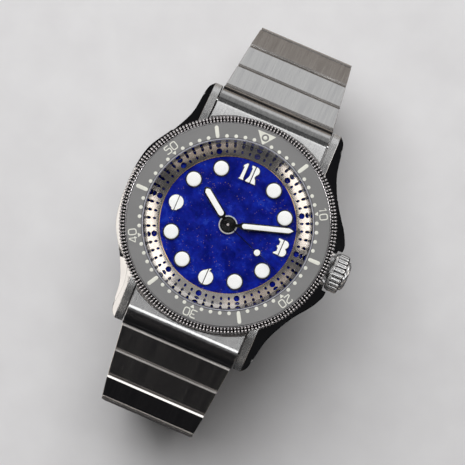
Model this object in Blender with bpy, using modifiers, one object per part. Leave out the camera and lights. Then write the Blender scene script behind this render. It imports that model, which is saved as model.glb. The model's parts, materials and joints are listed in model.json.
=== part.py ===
"""Dive watch on a closed steel bracelet, built piece by piece.

World frame in metres: origin at the centre of the case back's outer face, +X towards the crown,
+Y towards 12 o'clock, +Z out of the dial. Sizes below are in millimetres and MM turns them to metres.
"""

import math

import bmesh
import bpy
from mathutils import Matrix, Vector

MM = 0.001
GAP = 0.1

# Heights above the case back's outer face.
CASE_BOTTOM = 1.3
CASE_TOP = 7.7
GASKET_SEAT = 1.75
MOVEMENT_FLOOR = 2.3
MOVEMENT_TOP = 7.2
DIAL_TOP = 7.9
DIAL_THICK = 0.4
REHAUT_TOP = 9.9
NECK_TOP = 9.85
COLLAR_TOP = 10.3
BEZEL_BOTTOM = 8.1
BEZEL_TOP = 10.95
INSERT_TOP = 11.0
INSERT_THICK = 0.6
CRYSTAL_EDGE_TOP = 11.7
CRYSTAL_TOP = 12.5
CROWN_HEIGHT = 4.7

# Radii about the dial axis.
BEZEL_R = 19.5
INSERT_OUT_R = 18.15
INSERT_IN_R = 15.42
NECK_R = 16.5
COLLAR_R = 15.8
BORE_R = 15.42
CRYSTAL_R = 15.05
GASKET_IN_R = 15.1
GASKET_OUT_R = 15.36
REHAUT_OUT_R = 15.05
REHAUT_IN_R = 12.2
DIAL_R = 14.9
MOVEMENT_R = 13.6
CASE_BACK_R = 16.0
BACK_PLUG_R = 14.25
TUBE_R = 1.5
CASE_WALL_R = 18.2
PEARL_R = 0.37
PEARL_ORBIT = 16.8

# Hands and hour markers.
MARKER_R = 1.55
MARKER_ORBIT = 10.15
MARKER_HIGH = 0.4
HOUR_ANGLE = 306.0
MINUTE_ANGLE = 72.5
SECONDS_ANGLE = 110.5
HOUR_LENGTH = 7.8
MINUTE_LENGTH = 11.9
SECONDS_LENGTH = 12.0

# Crown, along +X.
CROWN_R = 3.58
CROWN_CAP_R = 2.65
CROWN_START = 20.15
CROWN_SKIRT_END = 22.6
CROWN_END = 23.5
CROWN_FLUTES = 24
FLUTE_DEPTH = 0.07
STEM_R = 0.5
STEM_END = 22.8
BORE_END = 22.2

# Movement, with each arbor's centre, radius and lower end.
PLATE_LOW = 5.5
ROTOR_R = 12.8
ROTOR_LOW = 2.9
BARREL_AT = (-6.0, 4.6)
BALANCE_AT = (4.9, -6.0)
FORK_AT = (0.4, -6.6)
ESCAPE_AT = (-4.3, -5.2)
ARBORS = (
    ("barrel", BARREL_AT, 0.45, 3.3),
    ("balance", BALANCE_AT, 0.3, 3.4),
    ("fork", FORK_AT, 0.25, 3.6),
    ("escape", ESCAPE_AT, 0.25, 3.6),
)

# Lugs and the crown's recess in the case's side.
LUG_GAP = 22.0
LUG_TIP_Y = 23.2
LUG_TIP_X = 12.3
LUG_BEVEL = 1.0
CASE_HALF = 19.7
GUARD_X = 20.9
RECESS_X = 19.6
RECESS_HALF = 3.95

# Bracelet.
END_LINK_WIDTH = 21.4
END_PIVOT_Y = 22.9
END_PIVOT_Z = 2.6
SPRING_BAR_Y = 20.5
SPRING_BAR_Z = 3.7
PITCH = 5.5
LINK_HALF = 1.35
LINK_END_GAP = 0.2
KNUCKLE_R = 0.95
RELIEF_R = 1.1
TONGUE_HALF = 3.1
SLOT_HALF = 3.35
PIN_R = 0.42
PIN_HOLE_R = 0.52
TEMPLATE_WIDTH = 20.0
WIDTH_AT_LUGS = 21.2
WIDTH_STEP = 0.95
WIDTH_AT_CLASP = 16.0
SLOPES_12 = (35, 35, 43, 85, 102, 122, 150, 174)
SLOPES_6 = (29, 29, 42, 86, 104, 124, 152, 176)

# Clasp, in its own frame: X across, Y from the 6 side to the 12 side, N outwards.
CLASP_WIDTH = 18.0
CLASP_WALL = 1.0
BLADE_HALF = 6.2
CLASP_BOW_R = 90.0
HINGE_INSET = 4.6
HINGE_R = 0.75
PUSHER_R = 0.9


def clear_scene():
    """Removes whatever the file opened with."""
    for obj in list(bpy.data.objects):
        bpy.data.objects.remove(obj)


def new_collection(name):
    """Adds a collection to the scene."""
    collection = bpy.data.collections.new(name)
    bpy.context.scene.collection.children.link(collection)
    return collection


clear_scene()
PARTS = new_collection("dive_watch")
CUTTERS = new_collection("cutters")


def surface(name, colour, roughness, metallic):
    """A Principled BSDF material."""
    material = bpy.data.materials.new(name)
    material.use_nodes = True
    shader = material.node_tree.nodes["Principled BSDF"]
    shader.inputs["Base Color"].default_value = (*colour, 1.0)
    shader.inputs["Roughness"].default_value = roughness
    shader.inputs["Metallic"].default_value = metallic
    return material


BRUSHED = ("brushed_steel", (0.55, 0.55, 0.56), 0.35, 1.0)
POLISHED = ("polished_steel", (0.68, 0.68, 0.69), 0.12, 1.0)
GREY = ("insert_grey", (0.22, 0.22, 0.21), 0.45, 0.2)
CREAM = ("lume_cream", (0.75, 0.74, 0.66), 0.6, 0.0)
LUME = ("lume_white", (0.9, 0.91, 0.88), 0.55, 0.0)
LAPIS = ("lapis_blue", (0.003, 0.012, 0.28), 0.3, 0.0)
BLACK = ("black_lacquer", (0.01, 0.01, 0.012), 0.2, 0.6)
GLASS = ("sapphire", (0.95, 0.97, 0.98), 0.02, 0.0)
RUBBER = ("gasket_rubber", (0.03, 0.03, 0.03), 0.7, 0.0)
NYLON = ("gasket_nylon", (0.75, 0.74, 0.78), 0.35, 0.0)
BRASS = ("gilt_brass", (0.7, 0.5, 0.22), 0.3, 1.0)
RUTHENIUM = ("movement_plate", (0.42, 0.42, 0.43), 0.3, 1.0)


def finish(obj, look):
    """Gives an object its own material."""
    name, colour, roughness, metallic = look
    obj.data.materials.clear()
    obj.data.materials.append(surface(obj.name + "_" + name, colour, roughness, metallic))


def add_object(name, mesh, look=None):
    """Links a mesh as a part, or as a cutter when it has no look."""
    obj = bpy.data.objects.new(name, mesh)
    if look is None:
        CUTTERS.objects.link(obj)
        obj.hide_render = True
        obj.display_type = "WIRE"
    else:
        PARTS.objects.link(obj)
        finish(obj, look)
    return obj


def circle(radius, count, centre=(0.0, 0.0), start=0.0, sweep=360.0):
    """Points on a circle or an arc, in millimetres; an arc includes both of its ends."""
    steps = count if abs(sweep) == 360.0 else count - 1
    points = []
    for index in range(count):
        angle = math.radians(start + sweep * index / steps)
        points.append((centre[0] + radius * math.cos(angle), centre[1] + radius * math.sin(angle)))
    return points


def weld(mesh):
    """Closes a mesh by welding its caps and points its faces outwards."""
    work = bmesh.new()
    work.from_mesh(mesh)
    bmesh.ops.remove_doubles(work, verts=work.verts, dist=1e-7)
    bmesh.ops.recalc_face_normals(work, faces=work.faces)
    work.to_mesh(mesh)
    work.free()
    return mesh


def evaluated_mesh(obj):
    """The object's mesh with its modifiers applied."""
    bpy.context.view_layer.update()
    graph = bpy.context.evaluated_depsgraph_get()
    return bpy.data.meshes.new_from_object(obj.evaluated_get(graph))


def plate_mesh(name, loops, low, high):
    """Flat outlines in XY, filled and standing from low to high."""
    curve = bpy.data.curves.new(name, "CURVE")
    curve.dimensions = "2D"
    curve.fill_mode = "BOTH"
    curve.extrude = (high - low) * MM / 2
    for loop in loops:
        spline = curve.splines.new("POLY")
        spline.points.add(len(loop) - 1)
        for point, (x, y) in zip(spline.points, loop):
            point.co = (x * MM, y * MM, 0.0, 1.0)
        spline.use_cyclic_u = True
    holder = bpy.data.objects.new(name + "_outline", curve)
    bpy.context.scene.collection.objects.link(holder)
    mesh = evaluated_mesh(holder)
    bpy.data.objects.remove(holder)
    mesh.transform(Matrix.Translation((0, 0, (low + high) * MM / 2)))
    return weld(mesh)


def plate(name, loops, low, high, look=None):
    """A part or cutter cut from flat stock."""
    return add_object(name, plate_mesh(name, loops, low, high), look)


def bar_mesh(name, outline, half_width):
    """An outline in the YZ plane, extruded along X on both sides."""
    mesh = plate_mesh(name, [outline], -half_width, half_width)
    mesh.transform(Matrix(((0, 0, 1, 0), (1, 0, 0, 0), (0, 1, 0, 0), (0, 0, 0, 1))))
    return mesh


def bar(name, outline, half_width, look=None):
    """A part or cutter with one section all along X."""
    return add_object(name, bar_mesh(name, outline, half_width), look)


def turned(name, profile, look=None, steps=48, closed=True):
    """A profile in XZ turned about Z; it runs down its outer side."""
    mesh = bpy.data.meshes.new(name)
    count = len(profile)
    edges = [(index, index + 1) for index in range(count - 1)]
    if closed:
        edges.append((count - 1, 0))
    mesh.from_pydata([(r * MM, 0.0, z * MM) for r, z in profile], edges, [])
    obj = add_object(name, mesh, look)
    screw = obj.modifiers.new("Turn", "SCREW")
    screw.steps = steps
    screw.render_steps = steps
    screw.use_merge_vertices = True
    screw.merge_threshold = 1e-6
    mesh.update()
    return obj


def tube_profile(inner, outer, low, high):
    """A square ring's profile, running down its outer side."""
    return [(outer, high), (outer, low), (inner, low), (inner, high)]


def disc_profile(radius, low, high, chamfer=0.0):
    """A disc's open profile from axis to axis."""
    return [
        (0, high),
        (radius - chamfer, high),
        (radius, high - max(chamfer, 1e-3)),
        (radius, low),
        (0, low),
    ]


def rod(name, radius, low, high, look=None, steps=24):
    """A plain cylinder along Z."""
    profile = [(0, high), (radius, high), (radius, low), (0, low)]
    return turned(name, profile, look, steps, closed=False)


def along_x(obj, centre=(0.0, 0.0, 0.0)):
    """Turns an object made about Z so that it lies along +X through a point."""
    obj.matrix_world = Matrix.Translation(Vector(centre) * MM) @ Matrix.Rotation(math.pi / 2, 4, "Y")
    return obj


def boolean(obj, tool, operation):
    """Adds an exact Boolean."""
    modifier = obj.modifiers.new(tool.name, "BOOLEAN")
    modifier.operation = operation
    modifier.solver = "EXACT"
    modifier.object = tool


def cut(obj, *tools):
    """Cuts each tool out of an object."""
    for tool in tools:
        boolean(obj, tool, "DIFFERENCE")


def join(obj, *tools):
    """Joins each tool to an object."""
    for tool in tools:
        boolean(obj, tool, "UNION")


def polar(radius, clock_angle):
    """A point on the dial at an angle counted clockwise from 12 o'clock."""
    angle = math.radians(clock_angle)
    return radius * math.sin(angle), radius * math.cos(angle)


# ---------------------------------------------------------------- case


def case_outline():
    """The middle case from above: lugs, waist and crown guards."""
    left = [(-LUG_GAP / 2, LUG_TIP_Y), (-LUG_TIP_X, LUG_TIP_Y), (-13.5, 21.5), (-14.1, 16.5)]
    left += [(-16.2, 12.0), (-18.8, 7.6), (-CASE_HALF, 3.2)]
    left += [(x, -y) for x, y in reversed(left)]
    guard = [(GUARD_X, RECESS_HALF), (GUARD_X, 5.0), (19.6, 7.5), (17.0, 11.2)]
    guard += [(14.8, 16.0), (13.6, 21.5), (LUG_TIP_X, LUG_TIP_Y), (LUG_GAP / 2, LUG_TIP_Y)]
    lower = [(x, -y) for x, y in reversed(guard)]
    return left + lower + [(RECESS_X, -RECESS_HALF), (RECESS_X, RECESS_HALF)] + guard


def case_side():
    """The middle case from the side: flat middle, lugs falling towards the wrist."""
    past_tip = LUG_TIP_Y + 0.2
    upper = [(12.5, CASE_TOP), (16.0, 7.3), (19.0, 6.2), (21.6, 4.8), (past_tip, 3.2)]
    lower = [(past_tip, 0.5), (21.5, -0.1), (18.8, 0.3), (16.4, CASE_BOTTOM)]
    right = upper + lower
    return right + [(-y, z) for y, z in reversed(right)]


def bevel_lug_tops(mesh, width):
    """Chamfers the outer top edges, where the polished flank meets the brushed top."""
    work = bmesh.new()
    work.from_mesh(mesh)
    edges = []
    for edge in work.edges:
        if len(edge.link_faces) != 2:
            continue
        ups = sorted(face.normal.z for face in edge.link_faces)
        if ups[1] > 0.5 and abs(ups[0]) < 0.2:
            edges.append(edge)
    bmesh.ops.bevel(work, geom=edges, offset=width * MM, segments=1, affect="EDGES", clamp_overlap=True)
    bmesh.ops.triangulate(work, faces=work.faces)
    work.to_mesh(mesh)
    work.free()


def make_mid_case():
    """Middle case with four lugs, bezel neck, stepped bore, crown tube hole and spring bar holes."""
    blank = plate("mid_case_blank", [case_outline()], -2, 9)
    side = bar("mid_case_side", case_side(), 30)
    boolean(blank, side, "INTERSECT")
    body = evaluated_mesh(blank)
    bevel_lug_tops(body, LUG_BEVEL)
    case = add_object("mid_case", body, POLISHED)
    neck = [(COLLAR_R, COLLAR_TOP), (COLLAR_R, NECK_TOP), (NECK_R, NECK_TOP), (NECK_R, 6.0)]
    neck += [(14.0, 6.0), (14.0, COLLAR_TOP)]
    join(case, turned("case_neck", neck))
    for sign in (-1, 1):
        gap = plate(f"lug_gap_{sign}", [lug_gap_outline(sign)], -3, 12)
        cut(case, gap)
    seat_r = REHAUT_OUT_R + 0.07
    plug_r = BACK_PLUG_R + GAP
    screw_r = 15.25
    bore = [(0, 12), (BORE_R, 12), (BORE_R, REHAUT_TOP), (seat_r, REHAUT_TOP), (seat_r, MOVEMENT_TOP)]
    bore += [(MOVEMENT_R, MOVEMENT_TOP), (MOVEMENT_R, MOVEMENT_FLOOR), (plug_r, MOVEMENT_FLOOR)]
    bore += [(plug_r, GASKET_SEAT), (screw_r, GASKET_SEAT), (screw_r, 0.0), (0, 0.0)]
    cut(case, turned("case_bore", bore, closed=False))
    tube_hole = rod("crown_tube_hole", TUBE_R + GAP, 10, 22, steps=20)
    cut(case, along_x(tube_hole, (0, 0, CROWN_HEIGHT)))
    for sign in (-1, 1):
        hole = rod(f"spring_bar_hole_{sign}", 0.5, -12.1, 12.1, steps=10)
        cut(case, along_x(hole, (0, sign * SPRING_BAR_Y, SPRING_BAR_Z)))
    return case


def lug_gap_outline(sign):
    """The gap between two lugs, ending in a round wall about the dial axis."""
    half = LUG_GAP / 2
    reach = math.degrees(math.asin(half / CASE_WALL_R))
    arc = circle(CASE_WALL_R, 11, start=90 - reach, sweep=2 * reach)
    loop = [(half, 26)] + arc + [(-half, 26)]
    return [(x, sign * y) for x, y in loop]


def make_case_back():
    """Screw-down case back: a flange with a flat outer face, and a plug into the bore."""
    profile = [(0, 1.5), (12.8, 1.5), (12.8, 2.2), (BACK_PLUG_R, 2.2), (BACK_PLUG_R, 1.2), (CASE_BACK_R, 1.2)]
    profile += [(CASE_BACK_R, 0.5), (CASE_BACK_R - 0.8, 0), (0, 0)]
    back = turned("case_back", profile, BRUSHED, closed=False)
    for index in range(6):
        x, y = polar(14.6, 30 + 60 * index)
        notch = plate(f"case_back_notch_{index}", [circle(0.9, 8, (x, y))], -0.5, 0.5)
        cut(back, notch)
    turned("case_back_gasket", tube_profile(14.45, 15.1, CASE_BOTTOM, GASKET_SEAT - GAP), RUBBER, steps=32)


def make_bezel():
    """Turning bezel, its insert with a pearl, and the click spring below."""
    seat_r = INSERT_OUT_R + GAP
    profile = [(18.75, BEZEL_TOP), (BEZEL_R, 10.2), (BEZEL_R, 8.5), (19.1, BEZEL_BOTTOM)]
    profile += [(NECK_R + GAP, BEZEL_BOTTOM), (NECK_R + GAP, NECK_TOP + GAP), (COLLAR_R + GAP, NECK_TOP + GAP)]
    profile += [(COLLAR_R + GAP, COLLAR_TOP + 0.05), (seat_r, COLLAR_TOP + 0.05), (seat_r, BEZEL_TOP)]
    turned("bezel", profile, POLISHED, steps=60)
    low = INSERT_TOP - INSERT_THICK
    insert = turned("bezel_insert", tube_profile(INSERT_IN_R, INSERT_OUT_R, low, INSERT_TOP), GREY, steps=60)
    cut(insert, plate("pearl_hole", [circle(PEARL_R + 0.05, 12, (0, PEARL_ORBIT))], low - 1, INSERT_TOP + 1))
    pearl = rod("bezel_pearl", PEARL_R, low + 0.05, INSERT_TOP + 0.08, CREAM, steps=12)
    pearl.location = (0, PEARL_ORBIT * MM, 0)
    outer = circle(17.9, 7, start=200, sweep=50)
    inner = circle(17.2, 7, start=250, sweep=-50)
    plate("bezel_click_spring", [outer + inner], CASE_TOP + 0.08, BEZEL_BOTTOM - 0.08, BRUSHED)


def make_crystal():
    """Domed sapphire with a bevelled edge, held in its gasket."""
    floor = REHAUT_TOP + 0.05
    profile = [(0, CRYSTAL_TOP), (7.5, CRYSTAL_TOP - 0.08), (11.5, CRYSTAL_TOP - 0.2)]
    profile += [(14.3, CRYSTAL_TOP - 0.32), (CRYSTAL_R, CRYSTAL_EDGE_TOP), (CRYSTAL_R, floor), (0, floor)]
    turned("crystal", profile, GLASS, closed=False)
    gasket = tube_profile(GASKET_IN_R, GASKET_OUT_R, REHAUT_TOP + GAP, INSERT_TOP + 0.05)
    turned("crystal_gasket", gasket, NYLON, steps=40)


def make_dial_set():
    """Stone dial and the perforated chapter ring that slopes up to the crystal."""
    turned("dial", tube_profile(0.95, DIAL_R, DIAL_TOP - DIAL_THICK, DIAL_TOP), LAPIS, steps=40)
    low = DIAL_TOP + 0.05
    slope = [(REHAUT_OUT_R, REHAUT_TOP), (REHAUT_OUT_R, REHAUT_TOP - 0.6), (REHAUT_IN_R + 0.3, low)]
    slope += [(REHAUT_IN_R, low), (REHAUT_IN_R, low + 0.25), (REHAUT_OUT_R - 0.25, REHAUT_TOP)]
    ring = turned("rehaut_ring", slope, POLISHED, steps=36)
    for index in range(12):
        x, y = polar(13.5, 30 * index)
        cut(ring, plate(f"rehaut_hole_{index}", [circle(0.55, 6, (x, y))], DIAL_TOP - 0.5, 12))


# ---------------------------------------------------------------- dial furniture


def make_round_markers():
    """Eight round applied markers."""
    for hour in (1, 2, 4, 5, 7, 8, 10, 11):
        x, y = polar(MARKER_ORBIT, 30 * hour)
        low = DIAL_TOP + 0.05
        profile = disc_profile(MARKER_R, low, low + MARKER_HIGH, 0.12)
        marker = turned(f"hour_marker_{hour:02d}", profile, LUME, steps=16, closed=False)
        marker.location = (x * MM, y * MM, 0)


def make_numerals():
    """Four applied numerals in a stencil style, each on one base."""
    low = DIAL_TOP + 0.05
    high = low + MARKER_HIGH
    one = [(-1.6, 11.0), (-1.1, 11.45), (-0.8, 11.45), (-0.8, 8.6)]
    two = [(-0.3, 8.6), (0.3, 9.3), (-0.3, 11.0), (-0.1, 11.45), (0.9, 11.5), (1.5, 10.9), (1.5, 10.3)]
    two += [(1.1, 9.7), (1.65, 8.3), (-1.55, 8.3), (-1.3, 8.7), (-1.3, 10.7)]
    plate("numeral_12", [one + two], low, high, LUME)
    three = [(9.35, 1.45), (10.7, 1.5), (11.35, 1.15), (11.4, 0.55), (11.0, 0.05), (11.5, -0.5)]
    three += [(11.4, -1.15), (10.8, -1.5), (9.3, -1.45), (9.8, -1.0), (9.8, -0.2), (9.5, 0.0)]
    three += [(9.8, 0.25), (9.8, 1.0)]
    plate("numeral_3", [three], low, high, LUME)
    six = circle(1.3, 14, (0.1, -10.15), start=60, sweep=-250) + [(-0.8, -8.8), (0.3, -8.35), (0.1, -8.9)]
    plate("numeral_6", [six], low, high, LUME)
    nine = circle(1.35, 14, (-10.1, 0.1), start=-60, sweep=280)
    nine += [(-10.5, -1.2), (-10.4, -1.45), (-9.9, -1.35)]
    plate("numeral_9", [nine], low, high, LUME)


def hand_outline(length, half_width, neck_half, body_start, hub_r, tip):
    """A hand that points along +Y: hub, neck, broad body and a pointed tip."""
    turn = math.degrees(math.asin(neck_half / hub_r))
    hub = circle(hub_r, 17, start=90 + turn, sweep=360 - 2 * turn)
    right = [(neck_half, body_start - 0.5), (half_width, body_start), (half_width, length - tip)]
    left = [(-x, y) for x, y in reversed(right)]
    return hub + right + [(0, length)] + left


def make_hand(name, outline, angle, low, thick, pipe_in, pipe_out, pipe_low, look):
    """A hand plate on its pipe, with the object's origin on the dial axis."""
    hole = [circle(pipe_in, 12)] if pipe_in else []
    hand = plate(name, [outline] + hole, low, low + thick, look)
    pipe_top = low + thick / 2
    if pipe_in:
        pipe = turned(name + "_pipe", tube_profile(pipe_in, pipe_out, pipe_low, pipe_top), steps=12)
    else:
        pipe = rod(name + "_pipe", pipe_out, pipe_low, pipe_top, steps=12)
    join(hand, pipe)
    hand.data = evaluated_mesh(hand)
    hand.modifiers.clear()
    finish(hand, look)
    hand.rotation_euler = (0, 0, -math.radians(angle))
    return hand


def make_hands():
    """Hour, minute and seconds hands, stacked on nested pipes."""
    hour = hand_outline(HOUR_LENGTH, 0.75, 0.32, 2.0, 1.6, 0.75)
    make_hand("hour_hand", hour, HOUR_ANGLE, 8.5, 0.22, 0.62, 0.82, 6.3, BLACK)
    minute = hand_outline(MINUTE_LENGTH, 0.68, 0.28, 2.3, 1.3, 0.95)
    make_hand("minute_hand", minute, MINUTE_ANGLE, 8.9, 0.2, 0.34, 0.52, 6.1, BLACK)
    turn = math.degrees(math.asin(0.1 / 0.95))
    seconds = circle(0.95, 15, start=90 + turn, sweep=360 - 2 * turn)
    disc = circle(0.62, 12, (0, 7.15), start=-80, sweep=160)
    seconds += [(0.1, 6.5)] + disc + [(0.08, 7.8), (0.06, SECONDS_LENGTH)]
    seconds += [(-0.06, SECONDS_LENGTH), (-0.08, 7.8)]
    seconds += [(-x, y) for x, y in reversed(disc)] + [(-0.1, 6.5)]
    make_hand("seconds_hand", seconds, SECONDS_ANGLE, 9.25, 0.16, 0, 0.24, 5.9, BLACK)


# ---------------------------------------------------------------- crown


def make_crown():
    """Fluted screw-down crown on its tube and stem; origins on the crown's axis."""
    centre = (0, 0, CROWN_HEIGHT)
    profile = [(0, CROWN_END), (CROWN_CAP_R - 0.35, CROWN_END - 0.12), (CROWN_CAP_R, CROWN_END - 0.4)]
    profile += [(CROWN_CAP_R, CROWN_SKIRT_END), (CROWN_R, CROWN_SKIRT_END - 0.15)]
    profile += [(CROWN_R, CROWN_START + 0.2), (CROWN_R - 0.3, CROWN_START), (TUBE_R + 0.25, CROWN_START)]
    profile += [(TUBE_R + 0.25, BORE_END), (STEM_R + 0.12, BORE_END), (STEM_R + 0.12, STEM_END + GAP)]
    profile += [(0, STEM_END + GAP)]
    crown = turned("crown", profile, POLISHED, steps=2 * CROWN_FLUTES, closed=False)
    ripple_flutes(along_x(crown, centre))
    tube = [(TUBE_R, 20.9), (TUBE_R, 17.6), (STEM_R + 0.2, 17.6), (STEM_R + 0.2, 20.9)]
    along_x(turned("crown_tube", tube, BRUSHED, steps=20), centre)
    along_x(rod("crown_stem", STEM_R, 9.5, STEM_END, BRUSHED, steps=12), centre)


def ripple_flutes(crown):
    """Sinks every second line of the crown's skirt to form the flutes."""
    crown.data = evaluated_mesh(crown)
    crown.modifiers.clear()
    step = math.pi / CROWN_FLUTES
    for vertex in crown.data.vertices:
        radius = math.hypot(vertex.co.x, vertex.co.y)
        on_skirt = radius > (CROWN_R - 0.1) * MM
        line = round(math.atan2(vertex.co.y, vertex.co.x) / step)
        if on_skirt and line % 2:
            vertex.co.x *= 1 - FLUTE_DEPTH
            vertex.co.y *= 1 - FLUTE_DEPTH
    finish(crown, POLISHED)


# ---------------------------------------------------------------- movement


def make_movement():
    """Main plate, barrel, escape wheel, pallet fork, balance and winding rotor."""
    rings = [circle(MOVEMENT_R - 0.2, 36), circle(1.0, 10)]
    main = plate("main_plate", rings, PLATE_LOW, MOVEMENT_TOP - GAP, RUTHENIUM)
    for name, centre, radius, low in ARBORS:
        post = rod(f"{name}_arbor", radius, low, PLATE_LOW + 0.5, steps=10)
        post.location = (centre[0] * MM, centre[1] * MM, 0)
        join(main, post)
    foot = bridge_bar("rotor_bridge_foot", 9.0, 4.9, PLATE_LOW + 0.3)
    bridge = bridge_bar("rotor_bridge", -1.6, 4.3, 5.2)
    join(main, foot, bridge, rod("rotor_post", 0.8, 2.75, 4.6, steps=12))
    wheel_on_arbor("mainspring_barrel", BARREL_AT, 4.6, 0.55, 3.4, 5.1, 24, BRASS)
    wheel_on_arbor("escape_wheel", ESCAPE_AT, 2.0, 0.35, 4.2, 4.5, 15, BRASS)
    balance = wheel_on_arbor("balance_wheel", BALANCE_AT, 4.3, 0.4, 3.8, 4.3, 24, BRASS)
    for sign in (-1, 1):
        window = circle(3.6, 9, BALANCE_AT, start=20 if sign > 0 else 200, sweep=140)
        cut(balance, plate(f"balance_window_{sign}", [window], 3.0, 5.0))
    make_pallet_fork()
    make_rotor()


def bridge_bar(name, start_y, low, high):
    """A bar of the rotor's bridge, out to the edge of the movement."""
    half = 1.2
    end_y = 10.6
    return plate(name, [[(-half, start_y), (half, start_y), (half, end_y), (-half, end_y)]], low, high)


def make_pallet_fork():
    """The pallet fork, bored for its arbor."""
    fork = [(-1.9, -0.25), (-1.9, 0.25), (-0.6, 0.6), (0, 0.75), (0.6, 0.6), (0.75, -0.25)]
    fork = [(x + FORK_AT[0], y + FORK_AT[1]) for x, y in fork]
    plate("pallet_fork", [fork, circle(0.33, 8, FORK_AT)], 4.8, 5.1, POLISHED)


def make_rotor():
    """The winding rotor: a half disc with a heavy rim."""
    outline = [(-ROTOR_R, 0)] + circle(ROTOR_R, 14, start=188, sweep=164) + [(ROTOR_R, 0), (2.2, 0)]
    outline += circle(1.9, 7, start=20, sweep=140) + [(-2.2, 0)]
    weight = plate("winding_rotor", [outline, circle(0.95, 16)], ROTOR_LOW, ROTOR_LOW + 0.3, RUTHENIUM)
    rim = circle(ROTOR_R - 0.1, 12, start=190, sweep=160) + circle(ROTOR_R - 2.0, 10, start=350, sweep=-160)
    join(weight, plate("rotor_rim", [rim], MOVEMENT_FLOOR + 0.15, ROTOR_LOW + 0.1))


def wheel_on_arbor(name, centre, radius, bore, low, high, steps, look):
    """A flat wheel with its origin on its arbor."""
    wheel = turned(name, tube_profile(bore, radius, low, high), look, steps=steps)
    wheel.location = (centre[0] * MM, centre[1] * MM, 0)
    return wheel


# ---------------------------------------------------------------- bracelet


def chain(slopes, side):
    """Pivot points (y, z) of a half bracelet; side is 1 towards 12 o'clock and -1 towards 6."""
    points = [(END_PIVOT_Y * side, END_PIVOT_Z)]
    for slope in slopes:
        y, z = points[-1]
        angle = math.radians(slope)
        points.append((y + side * PITCH * math.cos(angle), z - PITCH * math.sin(angle)))
    return points


def width_at(index):
    """The bracelet's width at a pivot."""
    return max(WIDTH_AT_CLASP, WIDTH_AT_LUGS - WIDTH_STEP * index)


def link_outline():
    """A link's section: plate, tongue end at y = 0 and knuckle end at y = PITCH."""
    tongue = circle(KNUCKLE_R, 6, start=-62, sweep=-220)
    knuckle = circle(KNUCKLE_R, 6, (PITCH, 0), start=102, sweep=-220)
    top = [(LINK_END_GAP, LINK_HALF), (PITCH - LINK_END_GAP, LINK_HALF)]
    bottom = [(PITCH - 0.95, -LINK_HALF), (0.95, -LINK_HALF)]
    return top + knuckle + bottom + tongue


def relief_outline(centre_y, side):
    """What is cut away round a pivot so that the neighbour's knuckle can turn; side points into the link."""
    reach = math.degrees(math.acos(0.19 / RELIEF_R))
    arc = circle(RELIEF_R, 6, start=-reach, sweep=2 * reach)
    loop = [(-1.6, 1.8), (-1.6, -1.8), (0.19, -1.8)] + arc + [(0.19, 1.8)]
    return [(centre_y + side * y, z) for y, z in loop]


def shifted(mesh, x):
    """Moves a mesh along X, in millimetres."""
    mesh.transform(Matrix.Translation((x * MM, 0, 0)))
    return mesh


def link_template():
    """One link in its own frame, with a hinge pin across its slot and a hole through its tongue."""
    link = bar("link_template", link_outline(), TEMPLATE_WIDTH / 2)
    side_half = (TEMPLATE_WIDTH / 2 + 1 - TONGUE_HALF) / 2
    for sign in (-1, 1):
        mesh = bar_mesh("link_side_relief", relief_outline(0, 1), side_half)
        cut(link, add_object(f"link_side_relief_{sign}", shifted(mesh, sign * (TONGUE_HALF + side_half))))
    cut(link, bar("link_slot", relief_outline(PITCH, -1), SLOT_HALF))
    cut(link, bar("link_pin_hole", circle(PIN_HOLE_R, 6), SLOT_HALF + 1))
    join(link, bar("link_pin", circle(PIN_R - 0.06, 6, (PITCH, 0)), SLOT_HALF + 0.8))
    return weld(evaluated_mesh(link))


def make_links(slopes, side, label, template):
    """The half bracelet's links, each one tapered to its place."""
    pivots = chain(slopes, side)
    for index, slope in enumerate(slopes):
        mesh = template.copy()
        start = width_at(index) / TEMPLATE_WIDTH
        change = (width_at(index + 1) - width_at(index)) / TEMPLATE_WIDTH / (PITCH * MM)
        for vertex in mesh.vertices:
            vertex.co.x *= start + change * vertex.co.y
        link = add_object(f"link_{label}_{index + 1}", mesh, BRUSHED)
        turn = Matrix.Rotation(-side * math.radians(slope), 4, "X")
        flip = Matrix.Rotation(0 if side > 0 else math.pi, 4, "Z")
        y, z = pivots[index]
        link.matrix_world = Matrix.Translation((0, y * MM, z * MM)) @ turn @ flip


def end_link_outline():
    """The end link's section: flat by the bezel, a ridge, then a roll down to the first pivot."""
    centre = (END_PIVOT_Y, END_PIVOT_Z)
    knuckle = circle(KNUCKLE_R, 6, centre, start=70, sweep=-190)
    roll = [(15.0, 6.9), (20.2, 6.4), (21.4, 6.1), (22.4, 5.4), (23.1, 4.3), (23.1, 3.8)]
    return roll + knuckle + [(21.6, 1.45), (15.0, 1.45)]


def make_end_link(side, label):
    """A solid end link between two lugs, and its spring bar."""
    outline = [(side * y, z) for y, z in end_link_outline()]
    link = bar(f"end_link_{label}", outline, END_LINK_WIDTH / 2, BRUSHED)
    wall = disc_profile(CASE_WALL_R + 2 * GAP, -3, 12)
    cut(link, turned(f"end_link_bore_{label}", wall, steps=72, closed=False))
    relief = [(END_PIVOT_Y - y, END_PIVOT_Z + z) for y, z in relief_outline(0, 1)]
    relief = [(side * y, z) for y, z in relief]
    cut(link, bar(f"end_link_slot_{label}", relief, SLOT_HALF * width_at(0) / TEMPLATE_WIDTH))
    hole = circle(0.85, 14, (side * SPRING_BAR_Y, SPRING_BAR_Z))
    cut(link, bar(f"end_link_hole_{label}", hole, 14))
    pin = circle(PIN_R, 10, (side * END_PIVOT_Y, END_PIVOT_Z))
    join(link, bar(f"end_link_pin_{label}", pin, SLOT_HALF + 1.2))
    half_bar = [(0, 11.7), (0.38, 11.7), (0.38, 10.6), (0.75, 10.4)]
    profile = half_bar + [(r, -x) for r, x in reversed(half_bar)]
    spring_bar = turned(f"spring_bar_{label}", profile, POLISHED, steps=12, closed=False)
    along_x(spring_bar, (0, side * SPRING_BAR_Y, SPRING_BAR_Z))


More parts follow.
